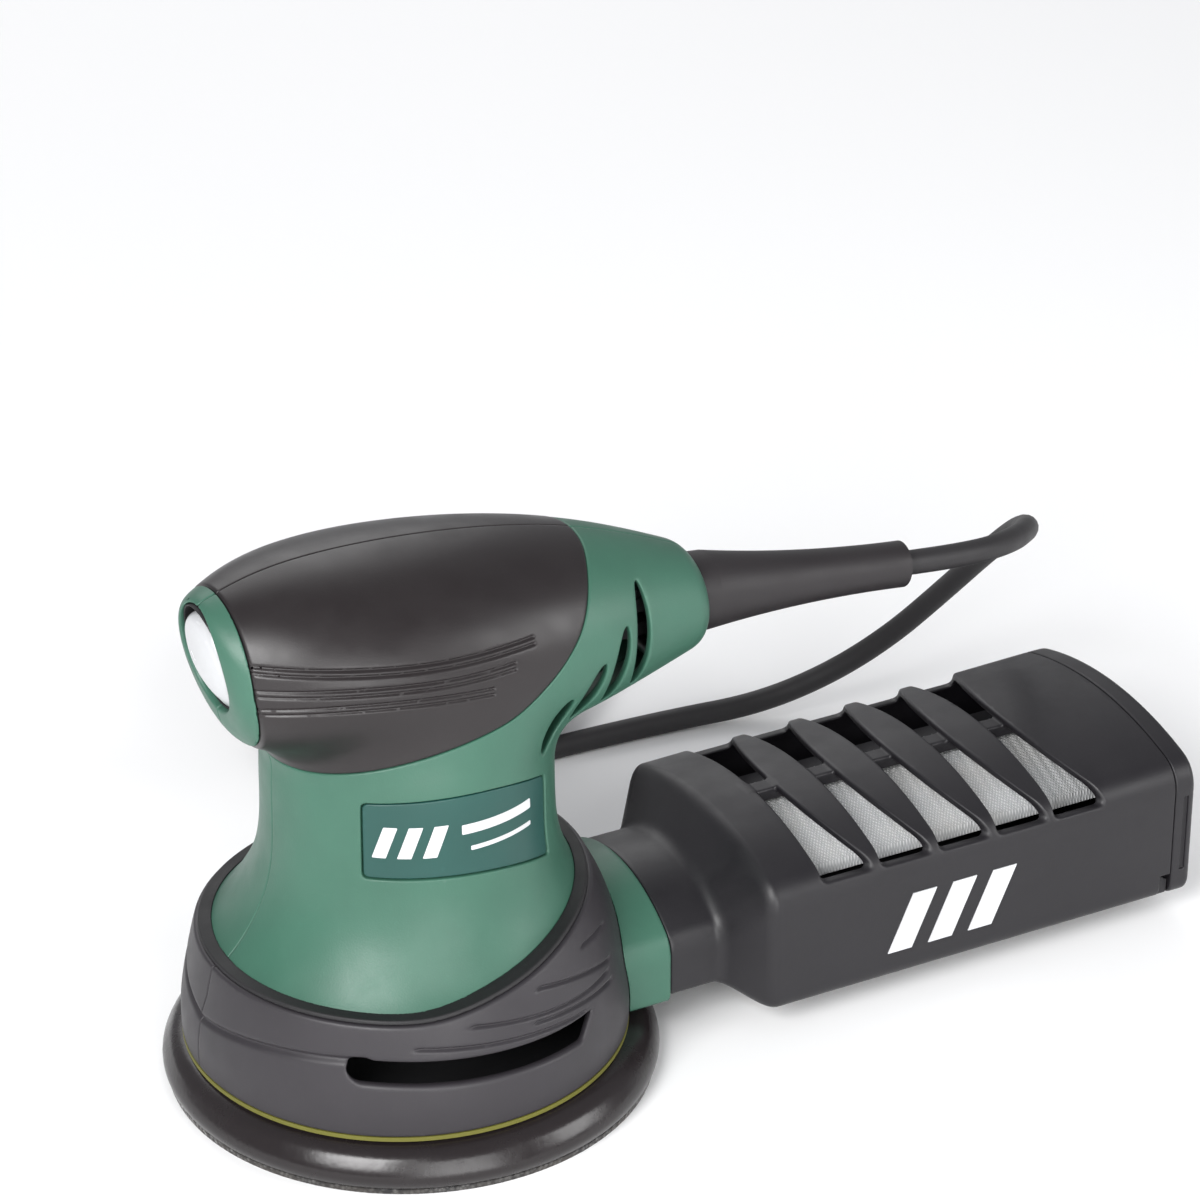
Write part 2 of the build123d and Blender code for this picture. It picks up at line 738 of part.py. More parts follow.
# ---------------------------------------------------------------- mains lead
tip = cable_plane.origin + cable_plane.z_dir * sleeve_length
coil_outer_radius = coil_mid_radius + coil_layers * cable_radius
coil_inner_radius = coil_mid_radius - coil_layers * cable_radius
coil_height = coil_layers * cable_diameter
outer_turn = coil_mid_radius + cable_diameter
lead_start = tip + cable_plane.z_dir * 20.0
lead_route = (
    (tip.X, tip.Y, tip.Z),
    (lead_start.X, lead_start.Y, lead_start.Z),
    (180.5, 7.5, 98.6),
    (196.0, 22.5, 92.5),
    (205.0, 41.0, 82.0),
    (208.0, 59.0, 66.5),
    (205.0, 76.0, 47.0),
    (196.0, 90.0, 27.5),
    (182.0, 101.0, 13.0),
    (163.0, 108.5, cable_radius + 1.6),
    (140.0, 113.6, cable_radius + 0.2),
    (114.0, 115.4, cable_radius),
    (92.0, coil_centre[1] - outer_turn + 1.2, cable_radius),
)


def fit_radii(route):
    """Largest tangent arc at each corner that both its runs leave room for."""
    points = [Vector(*point) for point in route]
    radii = []
    for before, corner, after in zip(points, points[1:], points[2:]):
        run_in, run_out = corner - before, after - corner
        turn = radians(run_in.get_angle(run_out))
        radii.append(0.45 * min(run_in.length, run_out.length) / tan(turn / 2))
    return radii


def cable_tube(name, route):
    """Round tube along straight runs joined by tangent arcs; prints its bends and volume."""
    radii = fit_radii(route)
    print(name, "bend radii", [round(radius) for radius in radii])
    with BuildPart() as tube:
        with BuildLine() as path:
            FilletPolyline(*route, radius=radii)
        start = Vector(*route[0])
        with BuildSketch(Plane(origin=start, z_dir=Vector(*route[1]) - start)):
            Circle(cable_radius)
        sweep(path=path.wires()[0])
    length = path.wires()[0].length
    print(name, "length", round(length, 1), "volume ratio",
          round(tube.part.volume / (length * pi * cable_radius ** 2), 4))
    keep(tube, name)


cable_tube("mains_lead", lead_route)

with BuildPart() as lead_coil:
    add(ring(coil_outer_radius, coil_inner_radius, 0, coil_height, coil_centre))
    fillet(lead_coil.edges(), cable_radius - 0.2)
keep(lead_coil, "lead_coil")

# the last half turn climbs on to the coil, where the plug lies
plug_height = 14.0
plug_level = coil_height + plug_height / 2 + 4.0
tail_angles = (75, 48, 21, -6, -33, -60)
tail_levels = (14.5, 16.5, 19.5, 23.5, 27.5, plug_level)
tail_route = [(coil_centre[0] + coil_mid_radius * cos(radians(angle)),
               coil_centre[1] + coil_mid_radius * sin(radians(angle)), level)
              for angle, level in zip(tail_angles, tail_levels)]
plug_joint = (coil_centre[0] - 1.5, coil_centre[1] - coil_mid_radius - 0.5, plug_level)
tail_route.append(plug_joint)
cable_tube("lead_tail", tail_route)

# flat two-pole plug with a tapered neck
plug_plane = Plane(origin=plug_joint, x_dir=(0, 1, 0), z_dir=(-1, 0, 0))
with BuildPart() as plug_body:
    with BuildSketch(plug_plane):
        Circle(cable_radius + 1.2)
    with BuildSketch(plug_plane.offset(18)):
        RectangleRounded(26.0, plug_height, 5.0)
    loft()
    with BuildSketch(plug_plane.offset(18)):
        RectangleRounded(26.0, plug_height, 5.0)
    with BuildSketch(plug_plane.offset(42)):
        RectangleRounded(34.0, plug_height + 8.0, 8.0)
    loft()
keep(plug_body, "plug_body")

with BuildPart() as plug_pins:
    with BuildSketch(plug_plane.offset(42)):
        with Locations((-9.5, 0), (9.5, 0)):
            Circle(2.4)
    extrude(amount=19)
keep(plug_pins, "plug_pins")
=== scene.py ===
# %% [markdown]
# # A palm sander, dressed for its portrait
# The working parts were drawn in a CAD program, and they arrive here as a fixed frame. This lesson
# builds what the eye sees around that frame: moulded shells, soft grips, a glossy pad, a dust box
# with a paper filter, and a rubber cable. Lengths inside the helpers are millimetres, because that
# is how a moulder thinks; a mesh is turned to metres only when it is made.

# %% Load the frame
import json
from math import cos, pi, radians, sin

import bmesh
import bpy
import numpy as np
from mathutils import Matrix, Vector


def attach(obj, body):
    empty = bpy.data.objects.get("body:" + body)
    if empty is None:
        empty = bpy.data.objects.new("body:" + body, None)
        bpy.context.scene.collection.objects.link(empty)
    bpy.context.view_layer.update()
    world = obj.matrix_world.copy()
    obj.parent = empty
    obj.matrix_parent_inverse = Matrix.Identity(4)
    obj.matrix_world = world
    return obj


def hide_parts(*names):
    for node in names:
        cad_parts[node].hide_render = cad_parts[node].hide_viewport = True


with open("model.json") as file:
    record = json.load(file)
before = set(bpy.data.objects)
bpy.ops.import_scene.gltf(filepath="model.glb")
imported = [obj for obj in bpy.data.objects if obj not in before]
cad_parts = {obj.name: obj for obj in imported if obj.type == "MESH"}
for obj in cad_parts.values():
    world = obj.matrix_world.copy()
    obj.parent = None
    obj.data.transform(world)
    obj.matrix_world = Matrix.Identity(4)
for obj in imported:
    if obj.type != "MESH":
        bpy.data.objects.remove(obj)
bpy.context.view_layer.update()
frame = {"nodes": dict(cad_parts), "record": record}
MM = 0.001

# %% [markdown]
# ## Camera
# A portrait of a tool is taken from well back with a long lens, so that round things stay round.
# The camera looks down at the tool's left side from the front. It aims with two angles and no roll,
# and the lens is given in millimetres on a 36 mm wide sensor, as on a real camera.

# %% Camera
CAMERA_PLACE = (-0.3985, -0.8546, 0.6265)
CAMERA_AZIMUTH, CAMERA_ELEVATION = radians(-27.96), radians(27.83)
camera_data = bpy.data.cameras.new("portrait_lens")
camera_data.lens, camera_data.sensor_width = 133.8, 36.0
camera_data.clip_start, camera_data.clip_end = 0.05, 20.0
camera = bpy.data.objects.new("portrait_camera", camera_data)
bpy.context.scene.collection.objects.link(camera)
camera.location = CAMERA_PLACE
backwards = Vector((sin(CAMERA_AZIMUTH) * cos(CAMERA_ELEVATION),
                    -cos(CAMERA_AZIMUTH) * cos(CAMERA_ELEVATION), sin(CAMERA_ELEVATION)))
camera.rotation_mode = "QUATERNION"
camera.rotation_quaternion = (-backwards).to_track_quat("-Z", "Y")
bpy.context.scene.camera = camera

# %% [markdown]
# ## Floor and lights
# Moulded plastic is lit by big soft boxes, which draw its curves as broad sheens. One large lamp
# from the left lights the grip, a low one in front reaches under the palm, one from the right fills
# the dust box, and a pale world keeps the shadows open. The floor is a plain pale sheet that
# belongs to the stage and not to the tool.

# %% Floor, lamps and world
floor_data = bpy.data.meshes.new("studio_floor")
FLOOR_REACH = 3.0
floor_data.from_pydata([(-FLOOR_REACH, -FLOOR_REACH, 0), (FLOOR_REACH, -FLOOR_REACH, 0),
                        (FLOOR_REACH, FLOOR_REACH, 0), (-FLOOR_REACH, FLOOR_REACH, 0)], [], [(0, 1, 2, 3)])
studio_paper = bpy.data.materials.new("studio_paper")
studio_paper.use_nodes = True
paper_shader = studio_paper.node_tree.nodes["Principled BSDF"]
paper_shader.inputs["Base Color"].default_value = (0.97, 0.97, 0.97, 1)
paper_shader.inputs["Roughness"].default_value = 0.9
floor_data.materials.append(studio_paper)
floor = bpy.data.objects.new("studio_floor", floor_data)
bpy.context.scene.collection.objects.link(floor)


TOOL_MIDDLE = (0.06, 0.0, 0.07)


def soft_box(name, place, size, power):
    """A square area lamp that faces the tool."""
    lamp = bpy.data.lights.new(name, "AREA")
    lamp.shape, lamp.size, lamp.energy = "SQUARE", size, power
    holder = bpy.data.objects.new(name, lamp)
    bpy.context.scene.collection.objects.link(holder)
    holder.location = place
    holder.rotation_mode = "QUATERNION"
    holder.rotation_quaternion = (Vector(TOOL_MIDDLE) - Vector(place)).to_track_quat("-Z", "Y")


soft_box("key_light", (-0.95, -0.75, 0.85), 0.7, 23.0)
soft_box("front_light", (-0.15, -1.5, 0.4), 0.9, 13.0)
soft_box("fill_light", (1.2, -1.0, 0.6), 0.7, 9.0)
soft_box("back_light", (0.3, 1.3, 1.1), 1.2, 8.0)
world = bpy.data.worlds.new("studio")
bpy.context.scene.world = world
world.use_nodes = True
surround = world.node_tree.nodes["Background"]
surround.inputs["Color"].default_value = (0.95, 0.96, 1.0, 1)
surround.inputs["Strength"].default_value = 0.38
bpy.context.scene.view_settings.view_transform = "Standard"
print("lamps:", [lamp.name for lamp in bpy.data.lights])

# %% [markdown]
# ## Finishes
# Nearly everything here is moulded, and a mould leaves its own surface: a fine even grain that was
# etched in the steel, slight clouds in colour and gloss, and edges that hands have polished. One
# recipe makes all of them from noise at three scales. A picture of plastic stretched over the mesh
# would need unwrapping and would smear in the grooves; noise in object space needs neither.

# %% Node helpers
class Finish:
    """A principled material that is wired up a node at a time."""

    def __init__(self, name):
        self.material = bpy.data.materials.new(name)
        self.material.use_nodes = True
        self.tree = self.material.node_tree
        self.shader = self.tree.nodes["Principled BSDF"]
        self.place = self.node("ShaderNodeTexCoord").outputs["Object"]

    def node(self, kind, settings=None, **inputs):
        made = self.tree.nodes.new(kind)
        for key, value in (settings or {}).items():
            setattr(made, key, value)
        for key, value in inputs.items():
            self.plug(made.inputs[int(key[1:]) if key[1:].isdigit() else key.replace("_", " ")], value)
        return made

    def plug(self, socket, value):
        if isinstance(value, bpy.types.NodeSocket):
            self.tree.links.new(value, socket)
        else:
            socket.default_value = value

    def noise(self, size_mm, detail=3.0, roughness=0.5, place=None):
        """Noise whose blobs are about size_mm across."""
        return self.node("ShaderNodeTexNoise", Vector=place or self.place, Scale=1.0 / (size_mm * MM),
                         Detail=detail, Roughness=roughness).outputs["Fac"]

    def spread(self, value, low, high, to_low=0.0, to_high=1.0):
        """A value mapped from one range to another, clamped."""
        ranged = self.node("ShaderNodeMapRange", i0=value, i1=low, i2=high, i3=to_low, i4=to_high)
        return ranged.outputs["Result"]

    def math(self, how, first, second=0.0):
        return self.node("ShaderNodeMath", {"operation": how}, i0=first, i1=second).outputs["Value"]

    def mix(self, share, first, second):
        blend = self.node("ShaderNodeMix", {"data_type": "RGBA"})
        self.plug(blend.inputs[0], share)
        for socket, colour in zip((blend.inputs[6], blend.inputs[7]), (first, second)):
            self.plug(socket, colour if isinstance(colour, bpy.types.NodeSocket) else (*colour, 1.0))
        return blend.outputs[2]

    def bump(self, height, depth_mm):
        """Wires a height of 0 to 1 as relief so many millimetres deep."""
        relief = self.node("ShaderNodeBump", Height=height, Distance=depth_mm * MM)
        self.tree.links.new(relief.outputs["Normal"], self.shader.inputs["Normal"])

    def set(self, **values):
        """Gives inputs of the shader a constant or another node's output."""
        for key, value in values.items():
            self.plug(self.shader.inputs[key.replace("_", " ")], value)
        return self


def shade(*levels):
    """A colour given as the eye reads it, red, green and blue from 0 to 255, turned to light."""
    return tuple(level / 255 / 12.92 if level <= 10 else ((level / 255 + 0.055) / 1.055) ** 2.4
                 for level in levels)


print("half bright to the eye is", round(shade(128)[0], 3), "of the light")


# %% Moulded plastic and rubber
def moulded(name, colour, rough, grain_mm=0.35, grain_depth=0.02, worn=0.25):
    """Etched grain, faint clouds of colour and gloss, and edges rubbed a little lighter."""
    finish = Finish(name)
    cloud = finish.noise(22.0, 4.0)
    dust = finish.spread(finish.noise(1.6, 5.0, 0.7), 0.56, 0.75)
    darker = tuple(c * 0.86 for c in colour)
    lighter = tuple(min(1.0, c * 1.35 + 0.02) for c in colour)
    base = finish.mix(finish.spread(cloud, 0.3, 0.7), darker, colour)
    base = finish.mix(finish.math("MULTIPLY", dust, 0.10), base, lighter)
    edge = finish.spread(finish.node("ShaderNodeNewGeometry").outputs["Pointiness"], 0.52, 0.62)
    base = finish.mix(finish.math("MULTIPLY", edge, worn), base, lighter)
    grain = finish.noise(grain_mm, 2.0)
    smear = finish.noise(9.0, 3.0)
    gloss_map = finish.math("ADD", finish.spread(smear, 0.3, 0.7, rough - 0.05, rough + 0.05),
                            finish.math("MULTIPLY", grain, 0.06))
    finish.bump(grain, grain_depth)
    return finish.set(Base_Color=base, Roughness=gloss_map, Specular_IOR_Level=0.5).material


GREEN, DEEP_TEAL = shade(55, 98, 81), shade(24, 72, 66)
GRIP_BROWN, SKIRT_GREY, BOX_BLACK = shade(29, 24, 25), shade(43, 40, 44), shade(24, 22, 26)
FINISHES = {
    "green_plastic": moulded("green_plastic", GREEN, 0.42, 0.5, 0.03),
    "grip_rubber": moulded("grip_rubber", GRIP_BROWN, 0.36, 0.3, 0.02, 0.15),
    "skirt_plastic": moulded("skirt_plastic", SKIRT_GREY, 0.45, 0.35, 0.02),
    "black_rubber": moulded("black_rubber", shade(24, 23, 25), 0.6, 0.4, 0.03, 0.1),
    "brake_rubber": moulded("brake_rubber", shade(98, 96, 30), 0.55, 0.4, 0.03, 0.2),
    "black_plastic": moulded("black_plastic", shade(30, 30, 32), 0.45),
    "label_plastic": moulded("label_plastic", DEEP_TEAL, 0.38, 0.4, 0.01, 0.15),
    "switch_white": moulded("switch_white", shade(196, 197, 199), 0.22, 0.8, 0.005, 0.0),
    "capacitor_case": moulded("capacitor_case", shade(196, 168, 60), 0.4),
    "carbon": moulded("carbon", shade(44, 44, 46), 0.5, 0.3, 0.03),
    "fan_plastic": moulded("fan_plastic", shade(60, 60, 58), 0.5),
    "pad_foam": moulded("pad_foam", shade(31, 26, 27), 0.22, 1.2, 0.03, 0.15),
    "pad_plate_plastic": moulded("pad_plate_plastic", shade(52, 52, 54), 0.5),
    "box_plastic": moulded("box_plastic", BOX_BLACK, 0.42, 0.35, 0.02),
    "stripe_white": moulded("stripe_white", shade(212, 213, 215), 0.4, 0.5, 0.01, 0.0),
    "filter_frame_plastic": moulded("filter_frame_plastic", shade(58, 57, 60), 0.5),
    "sleeve_rubber": moulded("sleeve_rubber", shade(32, 28, 30), 0.5, 0.4, 0.03, 0.1),
    "cable_rubber": moulded("cable_rubber", shade(34, 32, 34), 0.55, 0.6, 0.03, 0.1),
}
print(len(FINISHES), "moulded finishes")

# %% [markdown]
# Metal is not a darker plastic. Its colour is in its reflection, so it gets full metallic and a
# colour that is nearly white, and what tells steel from copper is the tint and the marks: turned
# rings, a rolled grain, or the hair lines of a winding.

# %% Metals
def metal(name, colour, rough, streak=(6.0, 6.0, 0.6), streak_depth=0.01):
    """Metal with fine marks drawn out along an axis, and dull patches."""
    finish = Finish(name)
    drawn = finish.node("ShaderNodeMapping", Vector=finish.place, Scale=streak).outputs["Vector"]
    marks = finish.noise(1.2, 3.0, 0.6, drawn)
    patch = finish.noise(12.0, 4.0)
    tarnished = tuple(c * 0.72 for c in colour)
    finish.set(Base_Color=finish.mix(finish.spread(patch, 0.45, 0.75), colour, tarnished))
    finish.set(Roughness=finish.spread(marks, 0.2, 0.8, rough - 0.08, rough + 0.12))
    finish.bump(marks, streak_depth)
    return finish.set(Metallic=1.0).material


FINISHES.update(
    screw_steel=metal("screw_steel", shade(186, 188, 190), 0.32),
    brass_contact=metal("brass_contact", shade(214, 178, 96), 0.3),
    bearing_steel=metal("bearing_steel", shade(200, 202, 204), 0.22, (1.0, 1.0, 8.0)),
    core_steel=metal("core_steel", shade(128, 130, 132), 0.42, (0.4, 0.4, 9.0), 0.05),
    copper_wire=metal("copper_wire", shade(200, 112, 66), 0.35, (1.0, 7.0, 7.0), 0.08),
    copper_bars=metal("copper_bars", shade(206, 122, 74), 0.28),
    cast_weight=metal("cast_weight", shade(138, 138, 136), 0.55, (1.0, 1.0, 1.0), 0.06),
    pin_metal=metal("pin_metal", shade(204, 200, 184), 0.25),
)
print(len(FINISHES), "finishes with the metals")

# %% [markdown]
# Two soft finishes are left. The sanding face is a carpet of tiny hooks, which looks like a dark
# nap with a pale sheen. The filter is pressed paper with a criss-cross of fine fibres, made from
# two sets of ridges.

# %% Hook face and filter paper
def hook_fabric():
    finish = Finish("hook_fabric")
    hooks = finish.node("ShaderNodeTexVoronoi", Vector=finish.place, Scale=900.0).outputs["Distance"]
    tuft = finish.spread(hooks, 0.0, 0.7)
    base = finish.mix(tuft, shade(96, 94, 92), shade(34, 33, 34))
    dust = finish.spread(finish.noise(14.0), 0.4, 0.7)
    finish.set(Base_Color=finish.mix(dust, base, shade(60, 56, 52)))
    finish.bump(finish.math("SUBTRACT", 1.0, tuft), 0.35)
    return finish.set(Roughness=0.9, Sheen_Weight=0.35, Sheen_Roughness=0.4).material


def filter_paper():
    finish = Finish("filter_paper")
    ridges = []
    for turn in (0.62, -0.62):
        tilted = finish.node("ShaderNodeMapping", Vector=finish.place, Rotation=(0.0, 0.0, turn))
        wave = finish.node("ShaderNodeTexWave", {"bands_direction": "X"}, Vector=tilted.outputs["Vector"],
                           Scale=420.0, Distortion=0.6, Detail=1.0)
        ridges.append(wave.outputs["Fac"])
    net = finish.math("MULTIPLY", *ridges)
    fibres = finish.noise(0.7, 5.0, 0.7)
    stain = finish.spread(finish.noise(16.0, 4.0), 0.45, 0.75)
    base = finish.mix(finish.spread(net, 0.05, 0.7), shade(186, 188, 190), shade(235, 236, 237))
    base = finish.mix(finish.math("MULTIPLY", fibres, 0.3), base, shade(176, 176, 174))
    stained = finish.mix(finish.math("MULTIPLY", stain, 0.25), base, shade(158, 146, 126))
    finish.set(Base_Color=stained)
    finish.bump(finish.math("ADD", net, finish.math("MULTIPLY", fibres, 0.4)), 0.18)
    return finish.set(Roughness=0.85).material


FINISHES.update(hook_fabric=hook_fabric(), filter_paper=filter_paper())
for row in frame["record"]["subparts"]:
    cad_object, finish = frame["nodes"][row["node"]], FINISHES[row["material_slot"]]
    for holder in cad_object.material_slots:
        holder.material = finish
    if not cad_object.material_slots:
        cad_object.data.materials.append(finish)
print("CAD nodes dressed:", len(frame["nodes"]))

# %% [markdown]
# ## The mains lead
# A cable is one length of something flexible, so it is one curve with a round bevel. It leaves the
# bend sleeve in line, sags down behind the dust box, runs along the floor and is put away in a neat
# coil of nine turns, three wide and three high. A NURBS curve of order three passes smoothly beside
# its control points. The order is set after the points, because Blender lowers it on a short
# spline.

# %% Route of the lead
CABLE = 6.4
CABLE_RADIUS = CABLE / 2
SLEEVE_ROOT = (80.0, 0.0, 112.0)
SLEEVE_LENGTH = 62.0
DROOP = radians(6.7)
along_sleeve = np.array([cos(DROOP), 0.0, -sin(DROOP)])
sleeve_tip = np.array(SLEEVE_ROOT) + along_sleeve * SLEEVE_LENGTH
COIL_CENTRE = (80.0, 158.0)
COIL_MID_RADIUS = 37.0
OUTER_TURN = COIL_MID_RADIUS + CABLE
lead_out = [
    tuple(sleeve_tip),
    tuple(sleeve_tip + 20.0 * along_sleeve),
    (180.5, 7.5, 98.6),
    (196.0, 22.5, 92.5),
    (205.0, 41.0, 82.0),
    (208.0, 59.0, 66.5),
    (205.0, 76.0, 47.0),
    (196.0, 90.0, 27.5),
    (182.0, 101.0, 13.0),
    (163.0, 108.5, CABLE_RADIUS + 1.6),
    (140.0, 113.6, CABLE_RADIUS + 0.2),
    (114.0, 115.4, CABLE_RADIUS),
    (92.0, COIL_CENTRE[1] - OUTER_TURN + 1.2, CABLE_RADIUS),
]

# %% [markdown]
# The coil is worked out turn by turn. Most of each turn lies at one radius, then the cable steps
# over by its own width; at the end of a layer it climbs instead, and leans away to let its
# neighbour by.

# %% Turns of the coil
COIL_TURNS, TURNS_WIDE, POINTS_PER_TURN = 9, 3, 24
WIRE_PITCH = 6.55
STEP_START, STEP_SHARE = 0.55, 0.33
LEAN = 4.5
COIL_START = radians(-92)


def coil_point(turns):
    """Place of the cable's middle after a number of clockwise turns."""
    lap = min(int(turns), COIL_TURNS - 1)
    share = min(max((turns - lap - STEP_START) / STEP_SHARE, 0.0), 1.0)
    step = share * share * (3 - 2 * share)
    layer, place = divmod(lap, TURNS_WIDE)
    inwards = layer % 2 == 0
    ring = place if inwards else TURNS_WIDE - 1 - place
    climbing = place == TURNS_WIDE - 1
    direction = -1 if inwards else 1
    radius = COIL_MID_RADIUS + (1 - ring) * WIRE_PITCH
    radius += direction * (LEAN * sin(pi * step) if climbing else WIRE_PITCH * step)
    height = CABLE_RADIUS + (layer + (step if climbing and lap < COIL_TURNS - 1 else 0)) * WIRE_PITCH
    angle = COIL_START - 2 * pi * turns
    return (COIL_CENTRE[0] + radius * cos(angle), COIL_CENTRE[1] + radius * sin(angle), height)


COIL_END = COIL_TURNS - 0.47
coil_turns = [coil_point(number / POINTS_PER_TURN)
              for number in range(int(COIL_END * POINTS_PER_TURN))]
PLUG_HEIGHT = 14.0
PLUG_LEVEL = 3 * CABLE + PLUG_HEIGHT / 2 + 4.0
PLUG_JOINT = (COIL_CENTRE[0] - 1.5, COIL_CENTRE[1] - COIL_MID_RADIUS - 0.5, PLUG_LEVEL)
tail_turns = ((75, 32.0, 18.2), (48, 34.5, 21.5), (21, 36.6, 24.2), (-6, 37.4, 26.6), (-33, 37.4, 28.8),
              (-60, 37.0, PLUG_LEVEL))


def by_coil(angle, radius, height):
    """A place at an angle, in degrees, and a radius from the coil's middle."""
    turn = radians(angle)
    return (COIL_CENTRE[0] + radius * cos(turn), COIL_CENTRE[1] + radius * sin(turn), height)


lead_points = lead_out + coil_turns + [by_coil(*place) for place in tail_turns] + [PLUG_JOINT]
print(len(lead_points), "control points carry the cable from the sleeve to the plug")

# %% The cable itself
lead_data = bpy.data.curves.new("mains_cable", "CURVE")
lead_data.dimensions = "3D"
lead_data.bevel_depth, lead_data.bevel_resolution, lead_data.resolution_u = 1.0, 6, 10
spline = lead_data.splines.new("NURBS")
spline.points.add(len(lead_points) - 1)
for point, place in zip(spline.points, lead_points):
    point.co, point.radius = (*[value * MM for value in place], 1), CABLE_RADIUS * MM
spline.order_u, spline.use_endpoint_u = 3, True
mains_cable = bpy.data.objects.new("mains_cable", lead_data)
bpy.context.scene.collection.objects.link(mains_cable)
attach(mains_cable, "housing")
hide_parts("mains_lead", "lead_coil", "lead_tail")
lead_data.materials.append(FINISHES["cable_rubber"])

# %% [markdown]
# ## Shapes as fields
# A moulded shell is all soft edges and flowing joins. It could be pushed out of a cage and smoothed
# with a subdivision surface, but slots and grooves that cross a curved wall make such a cage hard
# to keep clean. Here each form is a field instead: a function that says how many millimetres a
# point is outside. Two fields are joined by the smaller value, cut by the larger one, and a short
# soft mix rounds the edge between them.

# %% Soft joins and cuts
def join(first, second, soft=0.5):
    """The union of two fields, with a fillet of about that many millimetres."""
    share = np.clip(0.5 + 0.5 * (second - first) / soft, 0.0, 1.0)
    return second + (first - second) * share - soft * share * (1.0 - share)


def within(first, second, soft=0.5):
    """What two fields share, with its edge rounded."""
    return -join(-first, -second, soft)


def less(first, second, soft=0.5):
    """The first field with the second cut out of it."""
    return within(first, -second, soft)


def ellipse_gap(across, up, half_across, half_up):
    """How far a point is outside an ellipse."""
    ratio = np.hypot(across / half_across, up / half_up)
    slope = np.hypot(across / half_across ** 2, up / half_up ** 2)
    return ratio * (ratio - 1.0) / np.maximum(slope, 1e-6)


print("a fillet of 4 where two walls meet pulls in by", join(np.array(0.0), np.array(0.0), 4.0), "mm")

# %% [markdown]
# Outlines are measured at a few places and a smooth line is needed between them. A polynomial
# through all the points would swing about, and straight runs would show as flats, so this is a
# natural cubic spline: the curve that a thin strip of wood takes between pins.

# %% A spline through measured places
def curve_through(*places):
    """A function through (at, value) places, level beyond the ends."""
    at, value = np.array(places, float).T
    gap, count = np.diff(at), len(at)
    grid, side = np.eye(count), np.zeros(count)
    for pin in range(1, count - 1):
        grid[pin, pin - 1:pin + 2] = gap[pin - 1], 2 * (gap[pin - 1] + gap[pin]), gap[pin]
        climb, climb_before = np.diff(value)[pin] / gap[pin], np.diff(value)[pin - 1] / gap[pin - 1]
        side[pin] = 6 * (climb - climb_before)
    bend = np.linalg.solve(grid, side)

    def curve(x):
        x = np.clip(x, at[0], at[-1])
        span = np.clip(np.searchsorted(at, x) - 1, 0, count - 2)
        left, right, width = at[span + 1] - x, x - at[span], gap[span]
        return ((bend[span] * left ** 3 + bend[span + 1] * right ** 3) / (6 * width)
                + (value[span] / width - bend[span] * width / 6) * left
                + (value[span + 1] / width - bend[span + 1] * width / 6) * right)

    return curve


def steepness(curve, x, reach=0.2):
    """The factor that turns a height over a curve into a distance from it."""
    return 1.0 / np.sqrt(1.0 + ((curve(x + reach) - curve(x - reach)) / (2 * reach)) ** 2)


# %% [markdown]
# A field becomes a mesh by surface nets. Space is cut into small cells, each cell that the surface
# crosses gets one vertex, and each crossed cell edge gets one square of four neighbours. Marching
# cubes would do too, but it leaves slivers. The vertices are then slid along the slope of the field
# until they lie on the surface, and that slope is also the shading normal, so that highlights run
# as smoothly as the formula does.

# %% Skin a field
SLOPE_REACH, SETTLING_ROUNDS = 0.05, 3
SHARP_TURN = cos(radians(14))


def slope_of(field, points):
    """How fast the field rises along each axis."""
    nudges = np.eye(3) * SLOPE_REACH
    rises = [field(*(points + nudge).T) - field(*(points - nudge).T) for nudge in nudges]
    return np.stack(rises, 1) / (2 * SLOPE_REACH)


def net_over(field, low, high, cell):
    """Vertices, square faces and outward normals of the surface where the field is nought."""
    low = np.array(low, float)
    counts = np.ceil((np.array(high) - low) / cell).astype(int) + 1
    x, y, z = [low[k] + cell * np.arange(counts[k]) for k in range(3)]
    value = np.broadcast_to(field(x[:, None, None], y[None, :, None], z[None, None, :]), counts)
    inside = value < 0
    squares, marks = [], []
    for axis in range(3):
        one, other = np.eye(3, dtype=int)[(axis + 1) % 3], np.eye(3, dtype=int)[(axis + 2) % 3]
        ahead = np.eye(3, dtype=int)[axis]
        start = [slice(None)] * 3
        end = list(start)
        start[axis], end[axis] = slice(None, -1), slice(1, None)
        edge = np.argwhere(inside[tuple(start)] != inside[tuple(end)])
        at_start, at_end = value[tuple(edge.T)], value[tuple((edge + ahead).T)]
        cross = edge + ahead * (at_start / (at_start - at_end))[:, None]
        ring = np.stack([edge, edge - one, edge - one - other, edge - other], 1)
        turned = at_start >= 0
        ring[turned] = ring[turned][:, ::-1]
        squares.append(ring)
        marks.append(np.repeat(cross, 4, 0))
    squares, marks = np.concatenate(squares), np.concatenate(marks)
    keys = (squares @ np.array([counts[1] * counts[2], counts[2], 1])).ravel()
    _, vertex = np.unique(keys, return_inverse=True)
    share = np.bincount(vertex)
    points = low + cell * np.stack([np.bincount(vertex, marks[:, k]) / share for k in range(3)], 1)
    return points, vertex.reshape(-1, 4)


def settled(field, points, cell):
    """The points moved on to the surface, and its normals there."""
    for _ in range(SETTLING_ROUNDS):
        slope = slope_of(field, points)
        step = field(*points.T)[:, None] * slope / np.maximum((slope ** 2).sum(1), 0.05)[:, None]
        points = points - np.clip(step, -cell / 2, cell / 2)
    slope = slope_of(field, points)
    return points, slope / np.maximum(np.linalg.norm(slope, axis=1), 1e-9)[:, None]


def dressed(piece, body, slot, nodes=(), finish=None):
    """Puts a finished piece on its body, in its material slot, in place of its CAD nodes."""
    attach(piece, body)
    if nodes:
        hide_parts(*nodes)
    piece.data.materials.append(finish or FINISHES[slot])
    return piece


